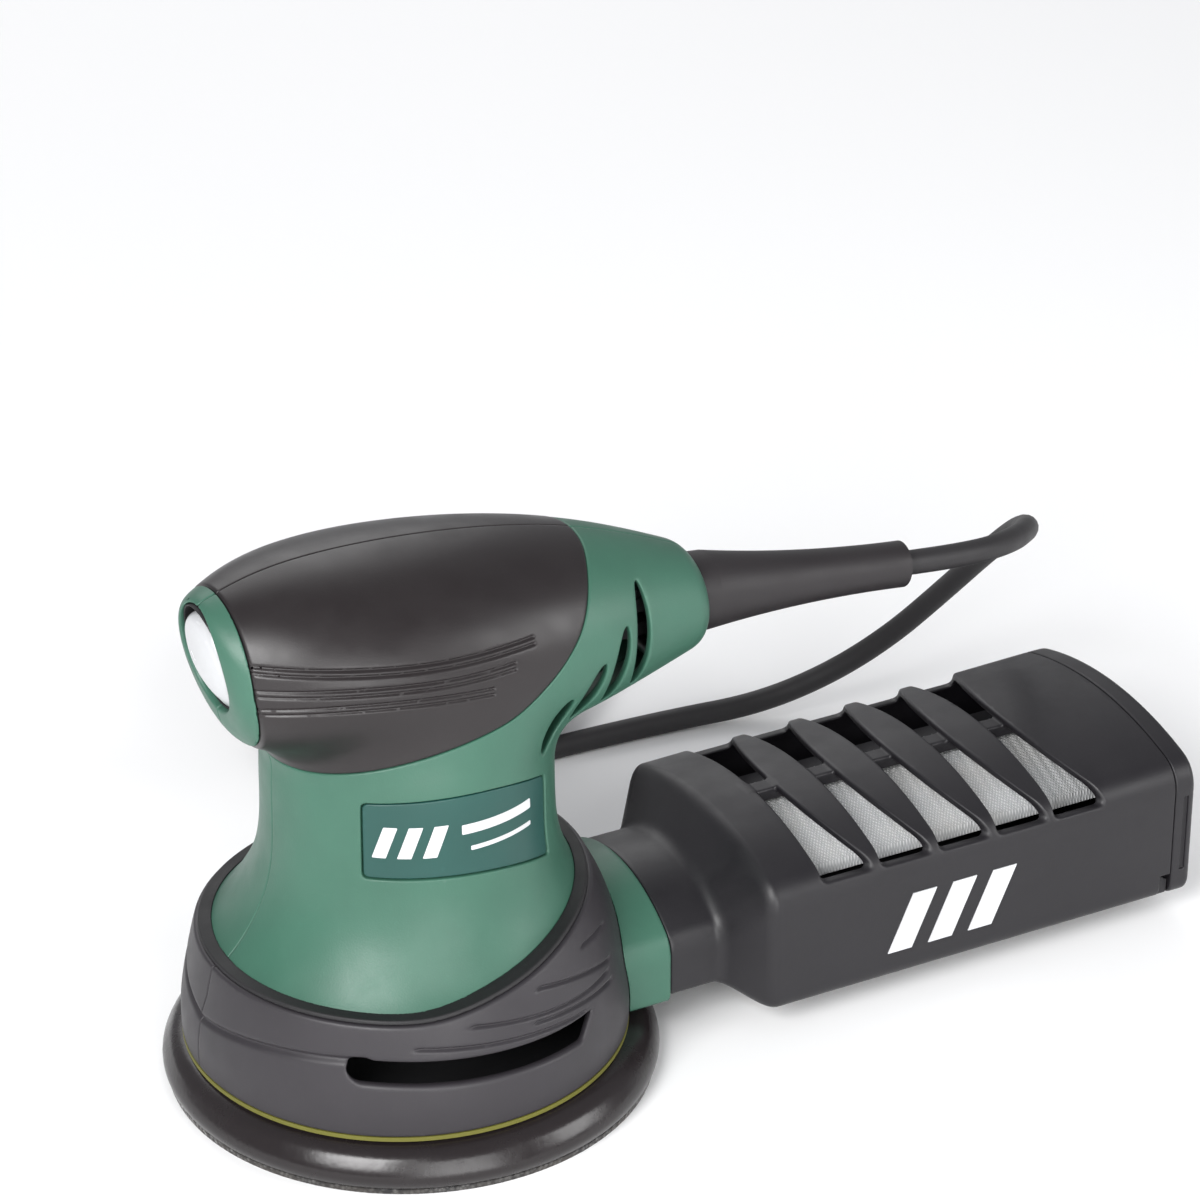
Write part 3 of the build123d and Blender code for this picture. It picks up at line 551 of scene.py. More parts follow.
def mesh_piece(name, points, faces, normals=None):
    """A smooth-shaded mesh object from millimetre points."""
    mesh = bpy.data.meshes.new(name)
    mesh.from_pydata((np.asarray(points) * MM).tolist(), [], [list(map(int, face)) for face in faces])
    mesh.polygons.foreach_set("use_smooth", [True] * len(mesh.polygons))
    if normals is not None:
        mesh.normals_split_custom_set_from_vertices(normals.tolist())
    piece = bpy.data.objects.new(name, mesh)
    bpy.context.scene.collection.objects.link(piece)
    return piece


COARSE = 1.0


def sharpened(field, points, faces, cell, rounds):
    """Splits the mesh only where it turns fast, so that grooves and rims come out crisp."""
    points, normals = settled(field, points, cell)
    work = bmesh.new()
    draft = bpy.data.meshes.new("draft")
    draft.from_pydata(points.tolist(), [], faces.tolist())
    work.from_mesh(draft)
    bpy.data.meshes.remove(draft)
    for _ in range(rounds):
        work.verts.index_update()
        ends = np.array([(edge.verts[0].index, edge.verts[1].index) for edge in work.edges])
        turning = (normals[ends[:, 0]] * normals[ends[:, 1]]).sum(1) < SHARP_TURN
        long = np.linalg.norm(points[ends[:, 0]] - points[ends[:, 1]], axis=1) > cell * 0.3
        chosen = [edge for edge, split in zip(work.edges, turning & long) if split]
        bmesh.ops.subdivide_edges(work, edges=chosen, cuts=1, use_grid_fill=True)
        points, normals = settled(field, np.array([vertex.co[:] for vertex in work.verts]), cell / 2)
        for vertex, place in zip(work.verts, points):
            vertex.co = place
    work.verts.index_update()
    faces = [[vertex.index for vertex in face.verts] for face in work.faces]
    work.free()
    return points, faces, normals


def skin(name, field, low, high, cell, body, slot, nodes=(), finish=None, rounds=2):
    """A piece whose surface is the field's."""
    cell = cell * COARSE
    points, faces = net_over(field, low, high, cell)
    points, faces, normals = sharpened(field, points, faces, cell, rounds)
    piece = dressed(mesh_piece(name, points, faces, normals), body, slot, nodes, finish)
    corners = points.min(0).round(1).tolist(), points.max(0).round(1).tolist()
    print(f"{name}: {len(faces)} faces, {corners[0]} to {corners[1]}")
    return piece


print("a quick look uses cells", COARSE, "times as large")

# %% [markdown]
# ## The housing
# The green shell is a palm grip on a neck. The grip is a run of ellipses along the tool, widest
# over the motor, and the neck is a turned form that flares out over the skirt. A soft join of the
# two makes the hollow under the palm, where the fingers go. The outlines follow the frame's, with a
# fuller nose and neck.

# %% The outer form
palm_top = curve_through((-56, 139.0), (-40, 144.6), (-18, 147.0), (8, 145.6), (34, 141.4), (58, 134.2),
                         (80, 124.6))
palm_belly = curve_through((-56, 111.0), (-40, 102.0), (-18, 96.0), (8, 91.5), (34, 90.0), (58, 94.0),
                           (80, 99.4))
palm_half = curve_through((-56, 12.0), (-40, 24.0), (-18, 32.0), (8, 33.0), (34, 28.8), (58, 21.5),
                          (80, 13.6))
neck_radius = curve_through((41, 49.3), (43.7, 46.6), (51, 41.0), (58.6, 37.2), (68, 35.0), (80, 34.4),
                            (92, 34.0), (103, 32.0), (113, 27.0), (124, 16.0))
FACE_POINT, FACE_LEAN = (-50.3, 126.0), radians(12)
REAR_END = 80.0
NECK_FOOT, NECK_TOP = 41.0, 124.0
NECK_SHIFT, NECK_SWELL, SWELL_HEIGHT = 1.8, 1.7, 12.0
FACE_ROUNDING, REAR_ROUNDING, PALM_FILLET = 4.5, 5.0, 9.0


def face_gap(x, z):
    """Distance in front of the leaning front face."""
    return -cos(FACE_LEAN) * (x - FACE_POINT[0]) - sin(FACE_LEAN) * (z - FACE_POINT[1])


def face_up(x, z):
    """Height along the front face from its middle."""
    return -sin(FACE_LEAN) * (x - FACE_POINT[0]) + cos(FACE_LEAN) * (z - FACE_POINT[1])


def neck_form(x, y, z):
    """The turned neck, which swells a little towards the dust box above its foot."""
    rise = np.clip((z - NECK_FOOT) / SWELL_HEIGHT, 0.0, 1.0)
    swell = rise * rise * (3.0 - 2.0 * rise)
    out = np.hypot(x - NECK_SHIFT * swell, y) - neck_radius(z) - NECK_SWELL * swell
    return out * steepness(neck_radius, z)


def outer_form(x, y, z):
    """The closed outside of the housing."""
    top, belly = palm_top(x), palm_belly(x)
    palm = ellipse_gap(y, z - (top + belly) / 2, palm_half(x), (top - belly) / 2)
    palm = within(within(palm, face_gap(x, z), FACE_ROUNDING), x - REAR_END, REAR_ROUNDING)
    neck = within(neck_form(x, y, z), z - NECK_TOP, 4.0)
    return within(join(palm, neck, PALM_FILLET), NECK_FOOT - z, 0.8)


print("the palm is", round(float(palm_top(-18) - palm_belly(-18)), 1), "mm deep at its thickest")

# %% [markdown]
# The soft grip fills a shallow pocket in the green shell. Its edge is one line seen from the side,
# which drops under the palm and sweeps up behind the hand. The front keeps a green ring round the
# switch. The same line cuts the pocket and trims the grip, with a hair's width between them, so
# that the two can't disagree.

# %% The grip's edge, the vents and the label
grip_edge = curve_through((-50, 93.0), (-34, 96.8), (-24, 99.9), (-9, 104.0), (8, 107.2), (17.6, 109.6),
                          (25, 114.1), (32, 119.9), (37.2, 125.2), (41.3, 130.9), (44.4, 135.0),
                          (47.0, 138.0), (50.5, 146.0), (52.0, 150.0))
grip_front = curve_through((98.0, -43.6), (112.0, -45.0), (125.0, -46.0), (150.0, -46.2))
WALL, GRIP_THICK, FACE_BAND = 2.6, 1.3, 3.4
HAIR = 0.12


def grip_zone(x, z):
    """The grip's outline seen from the side, kept a band behind the face."""
    under = (grip_edge(x) - z) * steepness(grip_edge, x)
    ahead = within(grip_front(z) - x, face_gap(x, z) + FACE_BAND, 1.0)
    return within(under, ahead, 3.0)


# place along, height, length and lean in degrees
VENTS = ((55.5, 114.5, 27.0, 86.0), (48.0, 109.5, 22.0, 78.0), (39.5, 105.5, 17.0, 66.0),
         (29.5, 100.0, 15.0, 56.0))
VENT_HALF_WIDTH = 2.15
SCREW_PLACES = ((34.5, 51.0), (-10.0, 137.0), (42.0, 132.5), (64.4, 103.4))
SCREW_SEAT, SCREW_WELL = 13.2, 3.5


def vent_field(x, z):
    """The air slots, each a long ellipse seen from the side."""
    slots = None
    for at_x, at_z, length, lean in VENTS:
        along = (x - at_x) * cos(radians(lean)) + (z - at_z) * sin(radians(lean))
        across = (z - at_z) * cos(radians(lean)) - (x - at_x) * sin(radians(lean))
        slot = ellipse_gap(along, across, length / 2, VENT_HALF_WIDTH)
        slots = slot if slots is None else np.minimum(slots, slot)
    return slots


def screw_wells(x, y, z):
    """Round wells that sink the screw heads, open to the right side."""
    wells = np.minimum.reduce([np.hypot(x - at_x, z - at_z) for at_x, at_z in SCREW_PLACES]) - SCREW_WELL
    return within(wells, SCREW_SEAT - y, 0.4)


LABEL_MIDDLE, LABEL_HALF, LABEL_POCKET = -88.5, 25.3, 1.5
MM_PER_DEGREE = 0.6
FAR = 30.0
label_top = curve_through((-25.5, 92.4), (-4.5, 93.3), (12, 91.7), (26.5, 87.4))
label_foot = curve_through((-25.5, 72.8), (-5.0, 72.5), (10, 70.5), (26, 66.0))


def round_neck(x, y):
    """Millimetres round the neck from the middle of the label."""
    return (np.degrees(np.arctan2(y, x)) - LABEL_MIDDLE) * MM_PER_DEGREE


def label_zone(x, y, z):
    """The label's outline, on the left side only."""
    along = round_neck(x, y)
    ends = np.abs(along) - LABEL_HALF
    heights = within(z - label_top(along), label_foot(along) - z, 0.6)
    return np.where(y < 0, within(ends, heights, 1.6), FAR)


print(len(VENTS), "vents and", len(SCREW_PLACES), "screws")

# %% [markdown]
# Both halves are the same field, parted down the middle plane. A thin bevel along the parting gives
# the fine dark line that every two-shell tool shows. Inside, the wall is an even thickness, which
# is how a shell is moulded so that it cools without sinking.

# %% Housing halves
SWITCH_HOLE, SWITCH_WELL = (12.5, 13.9), 14.0


def housing_field(x, y, z):
    """The green shell, with its pockets, vents, screw wells and the switch's window."""
    form = outer_form(x, y, z)
    shell = within(form, -(form + WALL), 0.3)
    pocket = within(grip_zone(x, z), -(form + GRIP_THICK + HAIR), 0.3)
    shell = less(shell, pocket, 0.5)
    shell = less(shell, within(label_zone(x, y, z) - 0.35, -(form + LABEL_POCKET), 0.3), 0.5)
    shell = less(shell, vent_field(x, z), 0.9)
    shell = less(shell, screw_wells(x, y, z), 0.5)
    window = within(ellipse_gap(y, face_up(x, z), *SWITCH_HOLE), -face_gap(x, z) - SWITCH_WELL, 0.5)
    return less(shell, window, 0.9)


def parted(field, hand, soft, seam=lambda z: 0.0):
    """The half of a field to one side of a seam."""
    return lambda x, y, z: within(field(x, y, z), HAIR / 2 - hand * (y - seam(z)), soft)


HALVES = {"left": -1, "right": 1}
for side, hand in HALVES.items():
    low = (-62.0, -52.0 if hand < 0 else -1.5, 38.0)
    high = (84.0, 1.5 if hand < 0 else 52.0, 150.0)
    skin(f"shell_{side}", parted(housing_field, hand, 0.5), low, high, 0.9, "housing", "green_plastic",
         [f"housing_{side}"])

# %% [markdown]
# ## The soft grip
# The dark grip is a rubbery skin moulded over the palm. Three pairs of fine grooves sweep back from
# the front on each side. They could be a bump pattern, but they catch the light along their edges
# and turn with the surface, so they are pressed into the mesh, as shallow round valleys.

# %% Grip halves
GROOVES = (
    (curve_through((-45, 130.9), (-28, 129.9), (-12.7, 128.5), (4.4, 127.2), (21.7, 126.7)), 21.7),
    (curve_through((-45, 125.3), (-28.7, 125.2), (-13.3, 124.2), (3.7, 122.9), (15.6, 122.6)), 15.6),
    (curve_through((-45, 120.4), (-28.9, 121.1), (-13.5, 120.3), (3.4, 118.7), (9.2, 118.1)), 9.2),
)
GROOVE_WIDTH, GROOVE_DEPTH, PAIR_GAP = 0.42, 0.5, 1.5


def groove_depth(x, z):
    """How deep the paired grooves are pressed in, as smooth valleys with blunt rear ends."""
    depth = 0.0
    for line, end in GROOVES:
        past = np.maximum(x - end, 0.0)
        for shift in (-PAIR_GAP / 2, PAIR_GAP / 2):
            away = (z - line(x) - shift) * steepness(line, x)
            depth = depth + GROOVE_DEPTH * np.exp(-(away / GROOVE_WIDTH) ** 2 - (past / 0.6) ** 2)
    return depth


def grip_field(x, y, z):
    """The rubber skin, a hair smaller than its pocket."""
    form = outer_form(x, y, z)
    rubber = within(form - 0.1 + groove_depth(x, z), -(form + GRIP_THICK), 0.3)
    rubber = within(rubber, grip_zone(x, z) + HAIR, 0.9)
    return less(rubber, screw_wells(x, y, z), 0.5)


for side, hand in HALVES.items():
    low = (-50.0, -37.0 if hand < 0 else -1.5, 88.0)
    high = (54.0, 1.5 if hand < 0 else 37.0, 149.5)
    skin(f"soft_grip_{side}", parted(grip_field, hand, 0.4), low, high, 0.55, "housing", "grip_rubber",
         [f"grip_{side}"])

# %% [markdown]
# ## The blank label
# A rating label sits in a shallow pocket on the neck. Its face follows the neck, so it is cut from
# the same field: a layer between two depths. Slanted bars and two plain lines stand in for print.

# %% Label plate and its bars
LABEL_DEPTH, LABEL_THICK, LABEL_HEIGHT = 0.35, 0.9, 82.2
BAR_RAISED = 0.18


def label_field(x, y, z):
    """The plate, a layer that follows the neck a little below its face."""
    form = outer_form(x, y, z)
    plate = within(form + LABEL_DEPTH, -(form + LABEL_DEPTH + LABEL_THICK), 0.2)
    return within(plate, label_zone(x, y, z), 0.4)


def bar_field(x, y, z):
    """Raised print: three slanted bars, then a bold line over a fine one."""
    form, along = outer_form(x, y, z), round_neck(x, y)
    height = z - LABEL_HEIGHT + 0.02 * along
    slanted = along + 14.0 - 0.35 * height
    bars = within(np.abs((slanted + 3.0) % 6.0 - 3.0) - 1.7, np.abs(slanted) - 7.9, 0.2)
    bars = within(bars, np.abs(height) - 4.2, 0.2)
    bold = within(np.abs(along - 8.4) - 10.1, np.abs(height - 2.2) - 1.3, 0.3)
    fine = within(np.abs(along - 9.5) - 9.0, np.abs(height + 3.2) - 0.6, 0.3)
    print_zone = np.minimum(np.minimum(bars, bold), fine)
    layer = within(form + LABEL_DEPTH - BAR_RAISED, -(form + LABEL_DEPTH + LABEL_THICK), 0.1)
    return np.where(y < 0, within(layer, print_zone, 0.15), FAR)


skin("label_plate_skin", label_field, (-24, -37, 66), (27, -19, 95), 0.5, "housing", "label_plastic",
     ["label_plate"])
skin("label_bars", bar_field, (-22, -37, 72), (26, -19, 92), 0.4, "housing", "stripe_white")

# %% [markdown]
# ## The skirt
# The grey skirt shrouds the pad. It is turned like a bell, its rim is cut level at the front and
# climbs towards the dust outlet, and a long slot on each side lets the brake's air out. A groove
# wraps the front and runs into the slot, and thin lines step down towards the rear like feathers.

# %% Skirt outline and its lines
SKIRT_WALL, SKIRT_FLOOR = 2.5, 13.0
skirt_radius = curve_through((13, 56.0), (20, 56.0), (28, 54.9), (35.5, 53.4), (43, 51.5), (50, 48.7),
                             (56, 45.6), (62, 43.0), (67, 41.6))
rim_line = curve_through((-57, 42.3), (-30, 42.3), (-16, 42.6), (-2, 45.0), (13, 48.3), (26.4, 51.6),
                         (38, 54.0), (46, 55.6))
front_groove = curve_through((126, 33.2), (141, 32.3), (158, 30.6), (170, 28.9), (180, 27.4))
FEATHERS = (
    (curve_through((39, 45.2), (54, 46.5)), 42.0, 54.0),
    (curve_through((45, 37.6), (56, 40.1), (75, 43.8)), 45.0, 75.0),
    (curve_through((47, 32.7), (59, 34.1), (78, 36.1)), 47.0, 78.0),
    (curve_through((48, 35.6), (60, 36.2), (78, 37.8), (96, 39.8)), 48.0, 96.0),
    (curve_through((62, 32.0), (79, 33.6), (94, 34.8), (111, 36.0)), 62.0, 111.0),
)
FEATHER_WIDTH, FEATHER_DEPTH = 0.45, 0.7
FRONT_START, FRONT_WIDTH, FRONT_DEPTH = 126.0, 0.85, 0.9

# sections of the dust outlet: half width, floor, shoulder and crown
OUTLET_HOLE, OUTLET_START = (25.8, 16.0, 29.0, 38.9), 30.0
COLLAR_ARCH = (28.5, 13.3, 30.0, 41.5)


def arch(y, z, half, floor, shoulder, crown, soft=0.8):
    """A flat-bottomed arch, the section of the dust outlet."""
    rise = crown - shoulder
    circle = (half ** 2 + rise ** 2) / (2 * rise)
    dome = np.hypot(y, z - crown + circle) - circle
    return within(within(dome, np.abs(y) - half, soft), floor - z, 0.65 * soft)


def skirt_form(x, y, z):
    """The outside of the bell."""
    return (np.hypot(x, y) - skirt_radius(z)) * steepness(skirt_radius, z)


def skirt_lines(x, y, z):
    """How deep the front groove and the feather lines are pressed in."""
    turn = np.abs(np.degrees(np.arctan2(y, x)))
    short = np.maximum(FRONT_START - turn, 0.0)
    depth = FRONT_DEPTH * np.exp(-((z - front_groove(turn)) / FRONT_WIDTH) ** 2 - (short / 1.5) ** 2)
    for line, start, end in FEATHERS:
        past = np.maximum(np.maximum(start - turn, turn - end), 0.0)
        depth = depth + FEATHER_DEPTH * np.exp(-((z - line(turn)) / FEATHER_WIDTH) ** 2 - (past / 2.0) ** 2)
    return depth


def exhaust_slot(x, z):
    """The slot seen from the side: a round nose, a slow taper and a slanted tail."""
    top, foot = 33.2 - 0.04 * (x + 32.0), 27.3 - 0.0393 * (x + 32.0)
    middle, half = (top + foot) / 2, (top - foot) / 2
    nose = np.hypot(np.minimum(x + 32.0, 0.0), z - middle) - half
    return within(nose, x - 24.0 - 0.78 * (z - 25.3), 1.0)


def outlet_hole(x, y, z):
    """The way out for the dust, through the skirt and its rim."""
    return within(arch(y, z, *OUTLET_HOLE), OUTLET_START - x, 0.3)


def skirt_field(x, y, z):
    """The whole skirt, open at the outlet and at the exhaust slots."""
    form = skirt_form(x, y, z)
    shell = within(form + skirt_lines(x, y, z), -(form + SKIRT_WALL), 0.3)
    shell = within(within(shell, (z - rim_line(x) + 0.5) * 0.96, 0.8), SKIRT_FLOOR - z, 0.8)
    shell = less(shell, outlet_hole(x, y, z), 0.4)
    slot = within(exhaust_slot(x, z), 50.0 - np.hypot(x, y), 0.2)
    return less(shell, slot, 1.3)


def skirt_seam(z):
    """The parting steps sideways part of the way down, which locks the halves."""
    return 1.3 * np.clip((34.0 - z) / 5.0, 0.0, 1.0) - 0.65


for side, hand in HALVES.items():
    low = (-58.0, -58.0 if hand < 0 else -3.0, 11.0)
    high = (58.0, 3.0 if hand < 0 else 58.0, 62.0)
    skin(f"skirt_shell_{side}", parted(skirt_field, hand, 0.5, skirt_seam), low, high, 0.65, "housing",
         "skirt_plastic", [f"skirt_{side}"])

# %% [markdown]
# A black bead sits on the skirt's rim and fills the gap to the green flare. Its black is painted
# shadow: it stands in for the dark of that gap. It is the space that is left between the two forms,
# cut off a little above the rim, so it fits both without being measured.

# %% Rim bead, painted shadow in the joint
def shadow_bead_field(x, y, z):
    """A stem inside the rim with a thin cap over it, black as a painted shadow of the gap."""
    skirt_face = skirt_form(x, y, z)
    above = z - rim_line(x)
    stem = within(within(skirt_face + 2.6, above - 0.6, 0.4), -above - 5.0, 0.3)
    cap = within(skirt_face + 0.7, np.abs(above - 0.1) - 0.55, 0.4)
    bead = less(join(stem, cap, 0.3), outer_form(x, y, z) - 0.05, 0.3)
    return less(bead, outlet_hole(x, y, z), 0.4)


# The bead's black rubber finish is painted shadow for the gap between the skirt and the green flare.
skin("rim_shadow_bead", shadow_bead_field, (-56, -56, 34), (56, 56, 63), 0.55, "housing", "black_rubber", ["rim_seal"],
     rounds=1)

# %% [markdown]
# ## The outlet collar
# Dust leaves through an arched green collar. It is an arch pulled out along the tool, with the
# skirt's own bell shape cut from its end, so that it hugs the skirt all round.

# %% Collar
COLLAR_START, COLLAR_END = 36.0, 60.5


def collar_field(x, y, z):
    """The collar, trimmed to the bell and clear of the neck."""
    tube = less(arch(y, z, *COLLAR_ARCH, 3.0), arch(y, z, *OUTLET_HOLE), 0.4)
    tube = within(tube, x - COLLAR_END, 1.2)
    tube = less(tube, skirt_form(x, y, z) - 0.1, 0.3)
    return less(within(tube, COLLAR_START - x, 0.3), neck_form(x, y, z) - 0.3, 0.3)


skin("collar_shell", collar_field, (34, -31, 11), (63, 31, 60), 0.6, "housing", "green_plastic",
     ["outlet_collar"])

# %% [markdown]
# ## The dust box
# The box is one moulding: a spigot that plugs into the collar, a funnel and a long bin. Its section
# is an arch all the way, so only the four sizes of the arch change along the length. The lid's
# slots start square across and end in a bow, which leaves blades shaped like a letter D, joined by
# a bar down the middle.

# %% Dust box sizes
BOX_WALL, NECK_START, FUNNEL_START, FUNNEL_END, BOX_END = 2.0, 60.7, 75.0, 84.5, 205.0
NECK_ARCH, BOX_ARCH, REAR_ARCH = (27.4, 14.2, 29.6, 40.6), (38.0, 8.0, 42.5, 50.6), (38.0, 8.0, 45.5, 52.6)
SPIGOT_ARCH, SPIGOT_BORE = (25.3, 16.5, 28.8, 38.3), (23.3, 18.5, 28.0, 36.3)
SPIGOT_START, SPIGOT_END = 54.0, 62.4
FIRST_SLOT, SLOT_PITCH, SLOT_COUNT, SLOT_FOOT = 99.0, 17.2, 5, 41.5
BAR_HALF_WIDTH, BAR_LEVEL = 2.5, 48.6


def ramp(x, start, end, low, high, soft=2.0):
    """A straight climb between two levels, with its corners eased."""
    sign = 1 if high > low else -1
    climb = sign * (high - low) * (x - start) / (end - start)
    return low + sign * join(join(np.zeros_like(x), climb, -soft), sign * (high - low) + 0 * x, soft)


def box_form(x, y, z):
    """The outside of the dust box."""
    half, floor, shoulder, crown = [ramp(x, FUNNEL_START, FUNNEL_END, at_neck, at_box)
                                    for at_neck, at_box in zip(NECK_ARCH, BOX_ARCH)]
    along = np.clip((x - FUNNEL_END) / (BOX_END - FUNNEL_END), 0, 1)
    shoulder = shoulder + (REAR_ARCH[2] - BOX_ARCH[2]) * along
    crown = crown + (REAR_ARCH[3] - BOX_ARCH[3]) * along
    rounding = ramp(x, FUNNEL_START, FUNNEL_END, 3.0, 6.0)
    in_funnel = np.clip((6.0 - np.abs(x - (FUNNEL_START + FUNNEL_END) / 2)) / 2.0, 0.0, 1.0)
    return arch(y, z, half, floor, shoulder, crown, rounding) * (1.0 - 0.3 * in_funnel)


def box_slots(x, y, z):
    """The slots in the lid, straight in front and bowed behind."""
    slots = []
    for number in range(SLOT_COUNT):
        start = FIRST_SLOT + SLOT_PITCH * number
        bow = start + 6.0 + 10.0 * (y / 39.0) ** 2
        slots.append(within(start - x, (x - bow) * 0.9, 0.8))
    return within(np.minimum.reduce(slots), SLOT_FOOT - z, 2.0)


def dust_box_field(x, y, z):
    """The whole moulding, from the spigot to the open rear."""
    form = box_form(x, y, z)
    shell = within(form, -(form + BOX_WALL), 0.3)
    shell = within(within(shell, NECK_START - x, 1.0), x - BOX_END, 0.6)
    shell = less(shell, box_slots(x, y, z), 0.7)
    notch = within(within(np.abs(x - 203.2) - 1.4, np.abs(z - 11.6) - 3.2, 0.5), 36.4 - np.abs(y), 0.3)
    shell = less(shell, notch, 0.5)
    bar = within(np.abs(y) - BAR_HALF_WIDTH, np.abs(z - BAR_LEVEL) - 1.8, 0.8)
    bar = within(bar, np.abs(x - 142.0) - 45.0, 0.5)
    spigot = less(arch(y, z, *SPIGOT_ARCH, 1.2), arch(y, z, *SPIGOT_BORE, 1.0), 0.3)
    spigot = within(within(spigot, SPIGOT_START - x, 0.8), x - SPIGOT_END, 0.3)
    return join(join(shell, bar, 0.8), spigot, 0.3)


skin("dust_box_shell", dust_box_field, (52, -40, 6), (207, 40, 59), 1.0, "dust_box", "box_plastic",
     ["dust_box"])

# %% [markdown]
# ## Rear cover and filter
# The filter cartridge slides out at the back. Its cover closes the box with a small shadow gap, a
# grip groove runs down each side, and a lip inside finds the box's mouth.

# %% Rear cover
COVER_START, COVER_END, DISH_DEPTH, DISH_RIM = 205.1, 211.4, 0.8, 7.0


def cover_field(x, y, z):
    """The cover plate with its dished back, side grips and lip."""
    outside = arch(y, z, *REAR_ARCH, 6.0)
    plate = within(within(outside, COVER_START - x, 0.6), x - COVER_END, 2.2)
    dish = within(outside + DISH_RIM, COVER_END - DISH_DEPTH - x, 0.4)
    plate = less(plate, dish, 0.8)
    grip = within(within(np.abs(x - 208.4) - 0.75, np.abs(z - 26.5) - 11.0, 0.4), 37.3 - np.abs(y), 0.3)
    plate = less(plate, grip, 0.4)
    lip = within(within(outside + 2.4, -(outside + 4.2), 0.3), within(201.6 - x, x - 206.0, 0.3), 0.4)
    return join(plate, lip, 0.4)


skin("rear_cover", cover_field, (199, -41, 5), (214, 41, 56), 0.7, "filter_cartridge", "box_plastic",
     ["box_cover"])

# %% [markdown]
# The filter itself is folded paper. A flat sheet with a pleat pattern would look painted, so the
# folds are in the mesh: a roof with a ridge down the middle, corrugated along the box at a fine
# pitch. It is built as rows of points across the roof, one row for each crest and trough.

# %% Pleated paper
PAPER_START, PAPER_END, PAPER_FLOOR = 94.5, 198.5, 34.1
PLEAT_PITCH, PLEAT_DEPTH, ROWS_PER_PLEAT = 2.6, 0.45, 4
ROOF = ((-22.5, 34.2), (-21.8, 37.2), (-14.5, 40.3), (-7.0, 43.4), (0.0, 46.2), (7.0, 43.4), (14.5, 40.3),
        (21.8, 37.2), (22.5, 34.2))


def paper_mesh():
    """Points and faces of the roof, with a flat floor under it."""
    rows = int((PAPER_END - PAPER_START) / (PLEAT_PITCH / ROWS_PER_PLEAT))
    points, faces = [], []
    for row in range(rows + 1):
        x = PAPER_START + (PAPER_END - PAPER_START) * row / rows
        sink = PLEAT_DEPTH * (0.5 - 0.5 * cos(2 * pi * (x - PAPER_START) / PLEAT_PITCH))
        roof = [(x, y, z - sink) for y, z in ROOF[1:-1]]
        points += [(x, *ROOF[0]), *roof, (x, *ROOF[-1])]
        points += [(x, ROOF[-1][0], PAPER_FLOOR), (x, ROOF[0][0], PAPER_FLOOR)]
    ring = len(ROOF) + 2
    for row in range(rows):
        for place in range(ring):
            ahead = (place + 1) % ring
            here, beyond = row * ring, (row + 1) * ring
            faces.append((here + place, here + ahead, beyond + ahead, beyond + place))
    faces += [tuple(range(ring))[::-1], tuple(rows * ring + place for place in range(ring))]
    return points, faces


dressed(mesh_piece("pleated_paper", *paper_mesh()), "filter_cartridge", "filter_paper", ["filter_paper"])
print("pleats:", round((PAPER_END - PAPER_START) / PLEAT_PITCH))

# %% [markdown]
# ## Pad and switch
# The backing pad is foam with a glossy skin, turned to a soft flange. The dust holes go right
# through it. The rocker is an oval dome that stands a few millimetres proud of its black seal; its
# rim is rounded and a fine step runs round it, as on a part that has to slide past a rubber lip.

# %% Pad cushion
PAD_AXIS = 1.35
pad_radius = curve_through((1.2, 61.4), (4.0, 62.5), (8.0, 61.0), (10.8, 57.6), (11.6, 55.4))
DUST_HOLES = [(32.5 * cos(radians(45 * n)), 32.5 * sin(radians(45 * n))) for n in range(8)]
PAD_SCREWS = [(13.0 * cos(radians(45 + 90 * n)), 13.0 * sin(radians(45 + 90 * n))) for n in range(4)]


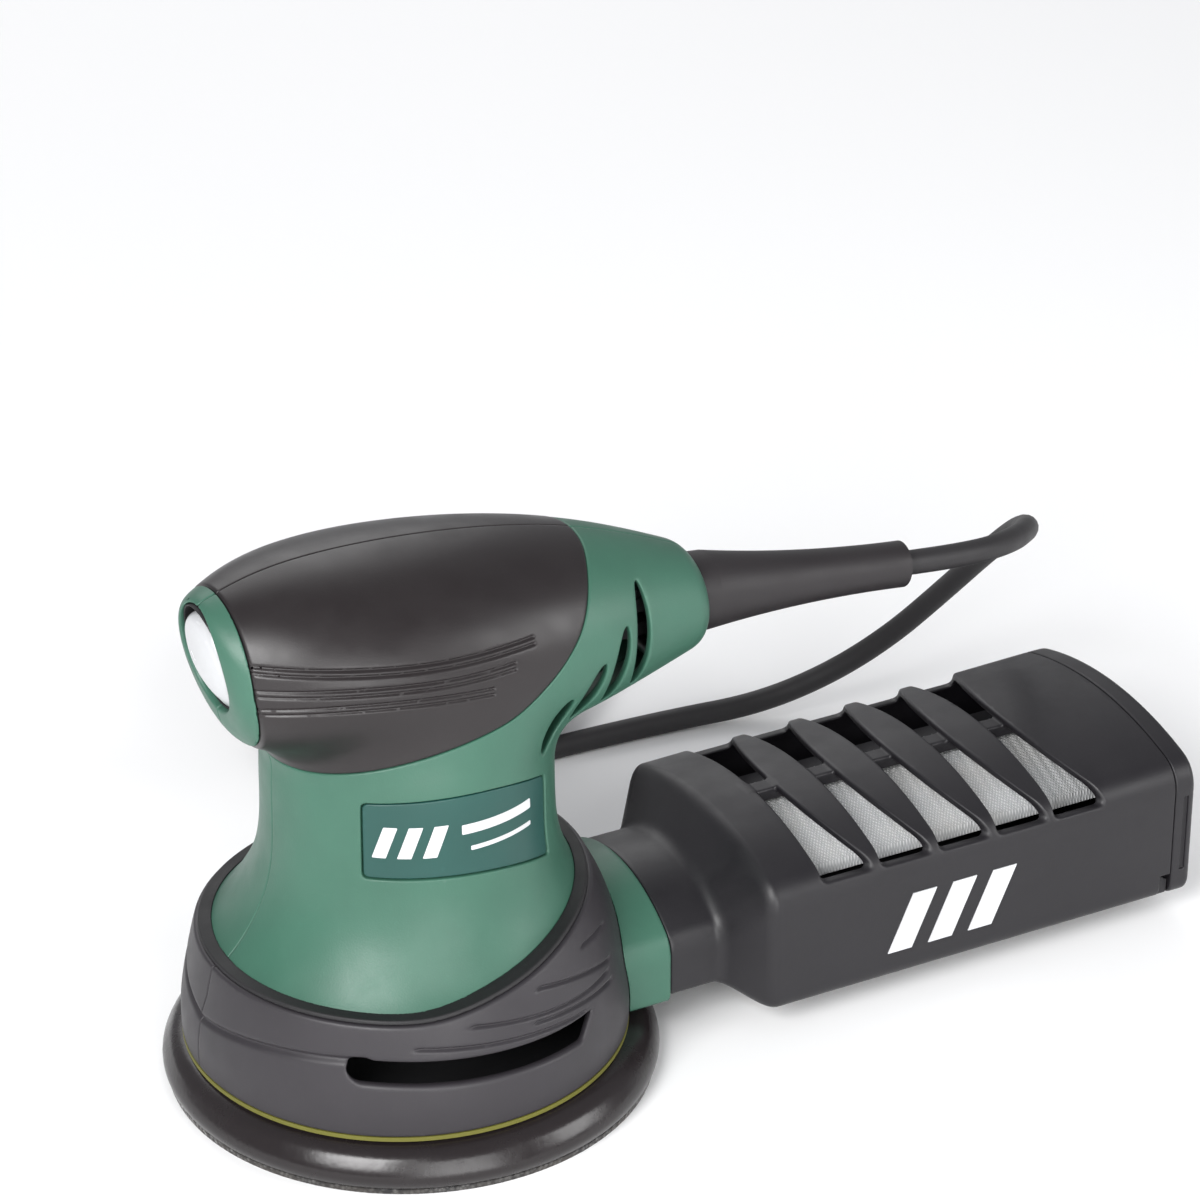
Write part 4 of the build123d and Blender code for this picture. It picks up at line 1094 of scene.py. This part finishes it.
def pad_field(x, y, z):
    """The foam ring, pierced for dust and screws and hollow above the plate."""
    x = x - PAD_AXIS
    out = np.hypot(x, y)
    pad = within((out - pad_radius(z)) * steepness(pad_radius, z), np.abs(z - 6.4) - 5.2, 0.9)
    holes = np.minimum.reduce([np.hypot(x - at_x, y - at_y) - 5.0 for at_x, at_y in DUST_HOLES]
                              + [np.hypot(x - at_x, y - at_y) - 4.2 for at_x, at_y in PAD_SCREWS])
    pad = less(pad, holes, 0.6)
    return less(pad, within(out - 48.2, 6.5 - z, 0.3), 0.4)


cushion = skin("foam_pad", pad_field, (-63, -65, -0.8), (66, 65, 13.6), 0.8, "pad", "pad_foam",
               ["pad_cushion"])

# %% Switch rocker and its lip
PIVOT = (-40.9874, 126.8317)
ROCKER_LEAN, ROCKER_PROUD, DOME_RADIUS = radians(16), 10.9, 26.0
ROCKER_OVAL = (11.5, 12.9)
LIP_OVAL, LIP_HOLE, LIP_DEPTH = (12.35, 13.75), (11.9, 13.3), 3.4


def rocker_field(x, y, z):
    """The cap, an oval cut from a ball, with a small mark near its foot."""
    ahead = -cos(ROCKER_LEAN) * (x - PIVOT[0]) - sin(ROCKER_LEAN) * (z - PIVOT[1])
    up = -sin(ROCKER_LEAN) * (x - PIVOT[0]) + cos(ROCKER_LEAN) * (z - PIVOT[1])
    oval = ellipse_gap(y, up, *ROCKER_OVAL)
    dome = np.sqrt(y ** 2 + up ** 2 + (ahead - ROCKER_PROUD + DOME_RADIUS) ** 2) - DOME_RADIUS
    cap = within(within(oval, dome, 1.8), 2.5 - ahead, 0.6)
    marks = 0.45 * np.exp(-((up + 9.6) / 0.5) ** 2 - (np.maximum(np.abs(y) - 2.2, 0.0) / 0.4) ** 2)
    return cap + marks * (ahead > 4.0)


def lip_field(x, y, z):
    """A thin rubber lip between the rocker and the shell."""
    oval = ellipse_gap(y, face_up(x, z), *LIP_OVAL)
    hole = ellipse_gap(y, face_up(x, z), *LIP_HOLE)
    ring = within(oval, -hole, 0.1)
    return within(ring, np.abs(face_gap(x, z) + LIP_DEPTH) - 2.0, 0.3)


skin("rocker_cap", rocker_field, (-57, -15, 108), (-36, 15, 145), 0.45, "rocker", "switch_white",
     ["switch_rocker"])
skin("rocker_lip", lip_field, (-58, -15, 108), (-36, 15, 145), 0.3, "housing", "black_rubber",
     ["switch_seal"], rounds=0)
